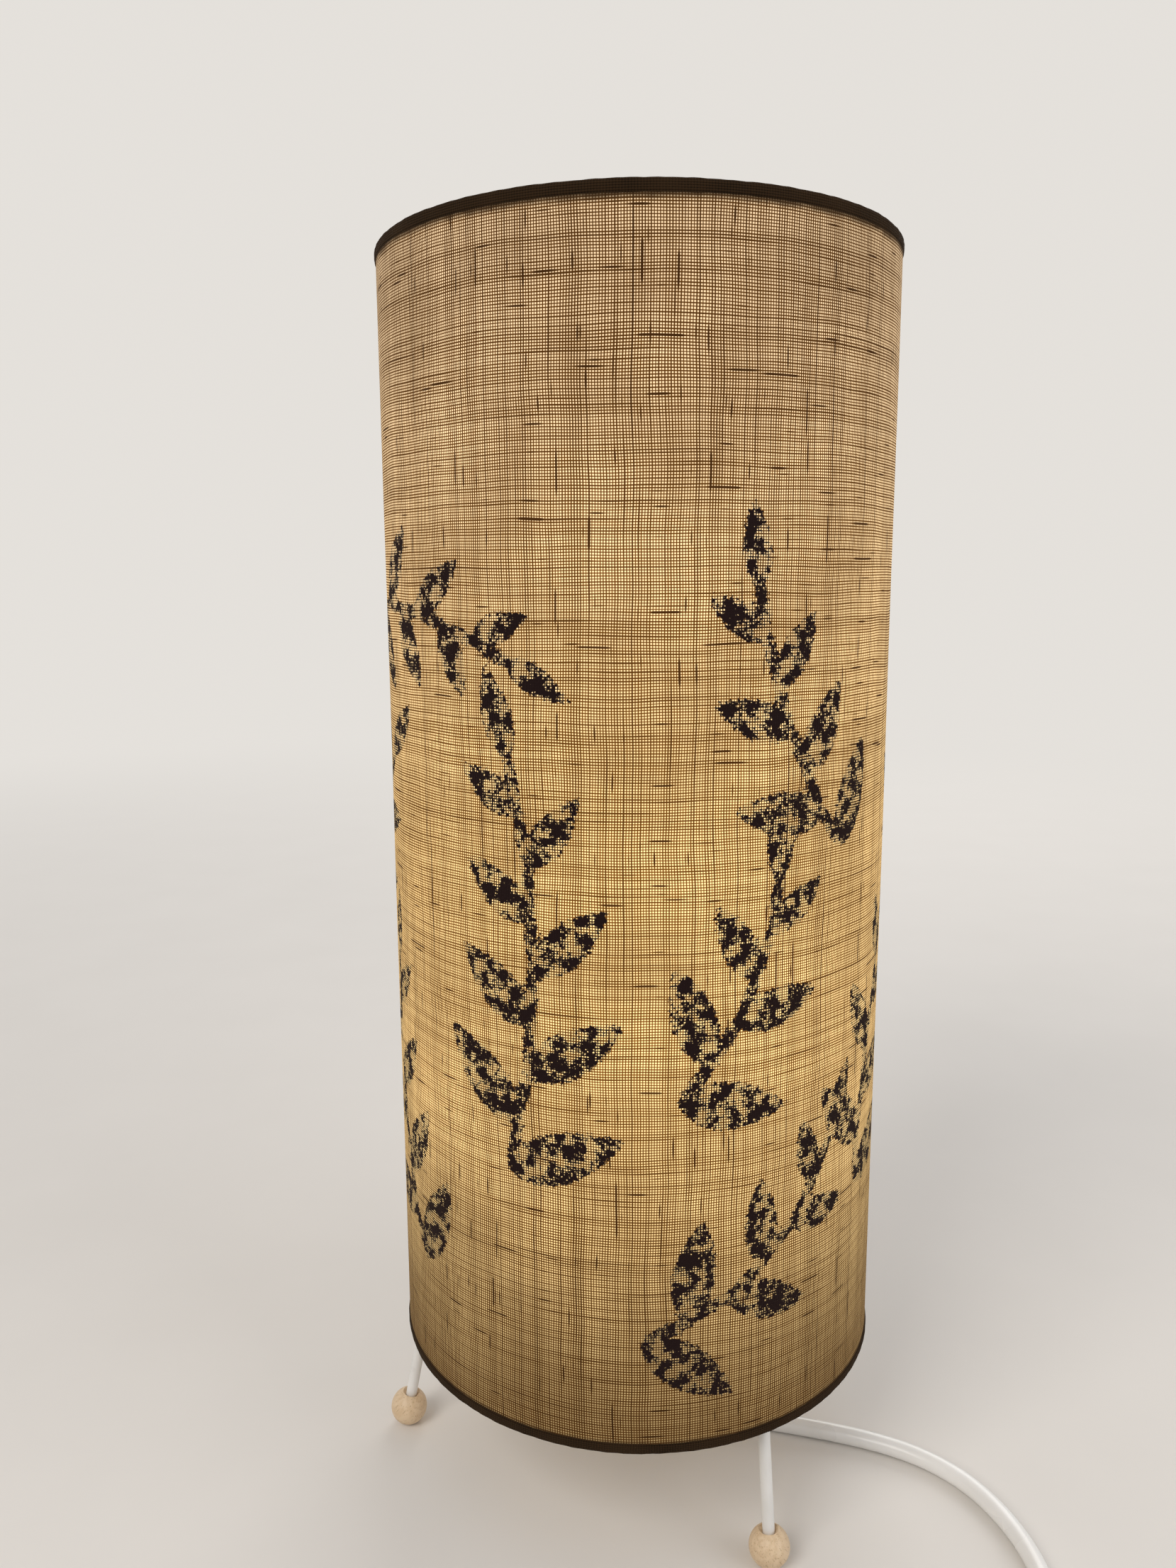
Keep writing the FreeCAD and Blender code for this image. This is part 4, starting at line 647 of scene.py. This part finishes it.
def rolled_hem(name, middle, phase):
    """A roll of cloth round a wire ring: a rounded upright section, spun round and puckered."""
    alone()
    bpy.ops.mesh.primitive_plane_add(size=1, location=(HEM_CIRCLE, 0, middle), rotation=(math.pi / 2, 0, 0))
    piece = named(name, hem.material)
    bpy.ops.object.mode_set(mode="EDIT")
    bpy.ops.mesh.select_all(action="SELECT")
    bpy.ops.transform.resize(value=(HEM_THICK, 1, HEM_TALL), center_override=(HEM_CIRCLE, 0, middle))
    bpy.ops.mesh.bevel(offset=HEM_CORNER, segments=6, affect="VERTICES")
    bpy.ops.mesh.delete(type="ONLY_FACE")
    bpy.ops.mesh.select_all(action="SELECT")
    bpy.ops.mesh.subdivide(number_cuts=1)
    bpy.ops.mesh.spin(steps=HEM_STEPS, angle=math.tau, center=(0, 0, 0), axis=(0, 0, 1))
    bpy.ops.mesh.select_all(action="SELECT")
    bpy.ops.mesh.remove_doubles(threshold=0.000001)
    bpy.ops.mesh.normals_make_consistent(inside=False)
    bpy.ops.object.mode_set(mode="OBJECT")
    for vertex in piece.data.vertices:
        spoke = math.hypot(vertex.co.x, vertex.co.y)
        turn = math.atan2(vertex.co.y, vertex.co.x)
        pucker = math.sin(41 * turn + phase) * math.sin(17 * turn) + 0.7 * math.sin(97 * turn + 2 * phase)
        pucker += 0.8 * math.sin(11 * turn + 3 * phase) * math.sin(3 * turn)
        vertex.co.z = middle + (vertex.co.z - middle) * (1 + PUCKER_TALL * pucker)
        grown = 1 + PUCKER_OUT * pucker / spoke
        vertex.co.x *= grown
        vertex.co.y *= grown
    alone(piece)
    bpy.ops.object.shade_smooth_by_angle(angle=math.radians(60))
    count(piece)
    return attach(piece, "shade")


low_hem = rolled_hem("hem_bottom", SHADE_LOW + HEM_TALL / 2, 0.4)
high_hem = rolled_hem("hem_top", SHADE_HIGH + TOP_PROUD - HEM_TALL / 2, 2.0)

# %% [markdown]
# ## White coated wire
#
# The stand and the fitter are steel under a satin white coat. The coat is never perfectly even: it clouds a
# little, has the faint pits of a sprayed powder, and is rubbed greyer where hands and the table touch it.

# %% Coated steel
coated = Finish("white_coated_steel", Coat_Weight=0.15, Coat_Roughness=0.3)
spray = coated.noise(coated.objects(), 900, 2, 0.5)
cloud = coated.noise(coated.objects(), 45, 3, 0.55)
rub = coated.fade(coated.noise(coated.objects(), 160, 4, 0.65), 0.58, 0.72)
white = coated.mix(coated.fade(cloud, 0.3, 0.7), rgb(0.74, 0.72, 0.68), rgb(0.82, 0.80, 0.77))
coated.surface(colour=coated.mix(coated.math("MULTIPLY", rub, 0.35), white, rgb(0.52, 0.49, 0.44)),
               rough=coated.fade(cloud, 0.3, 0.7, 0.36, 0.48), height=spray, depth=0.00003)
coat(coated.material, "left_leg", "front_leg", "rear_leg", "hub", "shade_fitter", "shade_top_ring")

# %% [markdown]
# ## Turned beech
#
# The feet are turned beech balls, drilled for the wire and chamfered round the hole. Beech has fine rings,
# and short dark flecks along the grain. The rings are a wave bent by noise, and the flecks are a noise
# stretched along the axis. Each ball is turned its own way, as each was cut from its own place in the wood.

# %% Beech feet
RING_BEND = 0.0022


def beech(name, centre, turn):
    """Pale turned wood, whose grain is turned its own way about the ball's middle."""
    wood = Finish(name, Coat_Weight=0.08, Coat_Roughness=0.35)
    grain = wood.objects(turn=turn, centre=centre)
    wander = wood.node("TexNoise", {"Vector": grain, "Scale": 120, "Detail": 2}).outputs["Color"]
    bent = wood.node("VectorMath", {0: wander, 1: (RING_BEND,) * 3, 2: grain}, operation="MULTIPLY_ADD")
    ring_look = {"Vector": bent.outputs[0], "Scale": 190, "Distortion": 1.6, "Detail": 2, "Detail Scale": 1.4}
    rings = wood.node("TexWave", ring_look, wave_type="RINGS", rings_direction="X").outputs["Fac"]
    along = wood.node("Mapping", {"Vector": grain, "Scale": (0.12, 1, 1)}).outputs[0]
    flecks = wood.fade(wood.noise(along, 2600, 2, 0.6), 0.60, 0.68)
    fibre = wood.noise(along, 900, 3, 0.6)
    tone = wood.mix(wood.math("MULTIPLY", rings, 0.38), rgb(0.70, 0.52, 0.33), rgb(0.55, 0.37, 0.20))
    tone = wood.mix(wood.fade(fibre, 0.3, 0.7, 0, 0.45), tone, rgb(0.78, 0.62, 0.43))
    tone = wood.mix(wood.math("MULTIPLY", flecks, 0.5), tone, rgb(0.30, 0.17, 0.075))
    return wood.surface(colour=tone, rough=wood.fade(fibre, 0.3, 0.7, 0.42, 0.6),
                        height=wood.math("SUBTRACT", fibre, flecks), depth=0.00005)


FEET = {"left_foot": (0.3, 0.9, 0.4), "front_foot": (1.1, 0.2, 1.9), "rear_foot": (2.0, 1.2, 0.7)}
for name, turn in FEET.items():
    low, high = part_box(name)
    coat(beech("beech_" + name, (low + high) / 2, turn), name)
print(f"{len(FEET)} beech feet")

# %% [markdown]
# ## Metals
#
# Each metal is one function with its own colour. Stamped and turned metal shows as fine streaks in its
# roughness and a little tarnish in its colour, and not as a mirror.

# %% Zinc, brass and nickel
def metal(name, clean, tarnished, low_rough, high_rough):
    """Bright metal with fine streaks and a little tarnish."""
    made = Finish(name, Metallic=1.0)
    streaks = made.noise(made.objects(scale=(1, 1, 0.15)), 900, 2)
    patches = made.noise(made.objects(), 90, 2)
    return made.surface(colour=made.mix(made.fade(patches, 0.35, 0.7), rgb(*clean), rgb(*tarnished)),
                        rough=made.fade(streaks, 0.3, 0.7, low_rough, high_rough),
                        height=streaks, depth=0.000002)


coat(metal("zinc_steel", (0.62, 0.63, 0.65), (0.50, 0.50, 0.50), 0.27, 0.40), "hollow_nipple",
     "nipple_washer", "nipple_nut", "lampholder_grub_screw", "clamp_screws", "switch_screws", "rocker_pin",
     "cord_clamps")
coat(metal("brass_contacts", (0.78, 0.58, 0.27), (0.62, 0.44, 0.20), 0.22, 0.36), "lampholder_shell",
     "lampholder_centre_contact", "terminal_screws", "switch_contacts", "contact_bridge")
coat(metal("nickel_cap", (0.72, 0.69, 0.64), (0.63, 0.60, 0.55), 0.20, 0.30), "bulb_cap", "bulb_contact",
     "bulb_filament_wires", "plug_pins")

# %% [markdown]
# ## Moulded plastics
#
# The lampholder is a fine matt white, and the switch and plug are a glossier one. A flat white would look
# like paper. A mould leaves a skin that is very slightly uneven, which breaks up the highlight, and handling
# leaves faint smears in its gloss.

# %% Plastics
def plastic(name, light, shadow, low_rough, high_rough, grain=320, depth=0.000012):
    """Moulded plastic with a soft skin and faint smears."""
    made = Finish(name)
    pores = made.noise(made.objects(), grain, 1)
    smears = made.noise(made.objects(), 75, 2)
    return made.surface(colour=made.mix(made.fade(smears, 0.3, 0.75), rgb(*light), rgb(*shadow)),
                        rough=made.fade(smears, 0.3, 0.7, low_rough, high_rough), height=pores, depth=depth)


coat(plastic("holder_plastic", (0.80, 0.78, 0.74), (0.70, 0.68, 0.63), 0.45, 0.6), "lampholder_cap",
     "lampholder_body", "shade_ring", "cord_bush")
coat(plastic("contact_block", (0.72, 0.69, 0.62), (0.58, 0.55, 0.48), 0.6, 0.8, 700, 0.00004),
     "lampholder_insert")
coat(plastic("switch_white", (0.82, 0.81, 0.79), (0.79, 0.78, 0.75), 0.26, 0.36), "switch_base",
     "switch_cover")
coat(plastic("rocker_white", (0.84, 0.83, 0.81), (0.81, 0.80, 0.77), 0.22, 0.31), "switch_rocker")
coat(plastic("plug_white", (0.82, 0.81, 0.79), (0.79, 0.78, 0.75), 0.32, 0.42), "plug_body",
     "coil_tie", "supply_wires", "cord_in_lamp")
coat(plastic("bulb_insulator", (0.025, 0.022, 0.020), (0.060, 0.055, 0.050), 0.15, 0.35), "bulb_insulator",
     "bulb_driver")

# %% [markdown]
# ## The bulb and the liner
#
# The bulb is clear glass round four glowing filaments, and a thin clear film stiffens the linen from
# inside. Both have slight waves, because perfectly even glass looks like air.

# %% Glass, filaments and film
glass = Finish("bulb_glass", Roughness=0.02, Transmission_Weight=1.0, IOR=1.45)
ripple = glass.noise(glass.objects(), 70, 2)
glass.surface(colour=glass.mix(glass.fade(ripple, 0.3, 0.7), rgb(0.97, 0.95, 0.90), rgb(1.0, 0.99, 0.97)),
              rough=glass.fade(ripple, 0.3, 0.7, 0.01, 0.05), height=ripple, depth=0.0003)
coat(glass.material, "bulb_glass", "bulb_stem")

filament = Finish("filament", Roughness=0.5)
beads = filament.noise(filament.objects(), 900, 2)
filament.surface(colour=filament.mix(beads, rgb(0.85, 0.55, 0.16), rgb(0.95, 0.72, 0.30)),
                 height=beads, depth=0.0001,
                 glow=filament.mix(beads, rgb(2.6, 1.5, 0.55), rgb(4.2, 2.9, 1.3)))
coat(filament.material, "bulb_filaments")

film = Finish("liner_film", Alpha=0.25, Specular_IOR_Level=0.5)
creases = film.noise(film.objects(), 55, 3)
film.surface(colour=film.mix(creases, rgb(0.80, 0.72, 0.55), rgb(0.88, 0.82, 0.68)),
             rough=film.fade(creases, 0.3, 0.7, 0.12, 0.3), height=creases, depth=0.0004)
coat(film.material, "shade_liner")
print("all parts have a finish:", all(part.data.materials[0].use_nodes for part in nodes.values()))

# %% [markdown]
# ## The studio
#
# The lamp stands on a plain pale floor under three large soft lamps. The floor is part of the studio and
# not of the lamp. More light would bleach the linen, so the background is made pale another way: the sky
# and the far floor are bright for the camera, and for the rays by which metal and glass show them, and
# dimmer for all other rays. The floor near the lamp is an ordinary one and keeps the shadow.

# %% Rays that see the background
BACKGROUND = rgb(0.78, 0.75, 0.71)


def seen_ray(tree):
    """1 for rays from the camera, and for those by which metal and glass show the background."""
    ray = tree.nodes.new("ShaderNodeLightPath").outputs
    seen = ray["Is Camera Ray"]
    for kind in ("Is Glossy Ray", "Is Transmission Ray"):
        either = tree.nodes.new("ShaderNodeMath")
        either.operation = "MAXIMUM"
        tree.links.new(seen, either.inputs[0])
        tree.links.new(ray[kind], either.inputs[1])
        seen = either.outputs[0]
    return seen


# %% Floor
FLOOR_RADIUS = 8
NEAR, FAR = 0.35, 2.0

bpy.ops.mesh.primitive_circle_add(vertices=96, radius=FLOOR_RADIUS, fill_type="NGON")
floor = alone(bpy.context.object)
floor.name = "studio_floor"
pale = Finish("studio_floor", Roughness=0.7, Specular_IOR_Level=0.2)
grainy = pale.noise(pale.objects(), 14, 4)
pale.surface(colour=pale.mix(grainy, rgb(0.74, 0.71, 0.67), rgb(0.78, 0.75, 0.71)))
away = pale.node("VectorMath", {0: pale.place.outputs["Object"]}, operation="LENGTH").outputs["Value"]
far_seen = pale.math("MULTIPLY", pale.fade(away, NEAR, FAR), seen_ray(pale.tree))
bright = pale.node("Emission", {0: BACKGROUND})
both = pale.node("MixShader", {0: far_seen, 1: pale.shader.outputs[0], 2: bright.outputs[0]})
pale.feed(pale.tree.nodes["Material Output"].inputs["Surface"], both.outputs[0])
floor.data.materials.append(pale.material)
print(f"floor {2 * FLOOR_RADIUS} m across")

# %% Sky
sky = bpy.data.worlds.new("studio")
scene.world = sky
sky.use_nodes = True
backdrop = sky.node_tree.nodes["Background"]
shades = sky.node_tree.nodes.new("ShaderNodeMix")
shades.data_type = "RGBA"
shades.inputs[6].default_value = rgb(0.42, 0.42, 0.43)
shades.inputs[7].default_value = BACKGROUND
sky.node_tree.links.new(seen_ray(sky.node_tree), shades.inputs[0])
sky.node_tree.links.new(shades.outputs[2], backdrop.inputs["Color"])


# %% Lamps
def soft_lamp(name, place, target, size, watts, colour):
    """A square area lamp that looks at a point."""
    light = bpy.data.lights.new(name, "AREA")
    light.size = size
    light.energy = watts
    light.color = colour
    lamp = bpy.data.objects.new(name, light)
    scene.collection.objects.link(lamp)
    lamp.location = place
    lamp.rotation_euler = (Vector(target) - Vector(place)).to_track_quat("-Z", "Y").to_euler()
    print(f"{name}: {watts} W")


LAMP_MIDDLE = (0, 0, 0.2)
soft_lamp("key_light", (-1.1, -1.5, 1.7), LAMP_MIDDLE, 1.2, 26, (1, 0.97, 0.93))
soft_lamp("fill_light", (1.7, -0.9, 0.9), LAMP_MIDDLE, 1.4, 13, (0.97, 0.98, 1))
soft_lamp("back_light", (0.4, 1.8, 1.3), LAMP_MIDDLE, 1.4, 15, (1, 0.98, 0.95))
scene.view_settings.view_transform = "Standard"
print("studio ready")
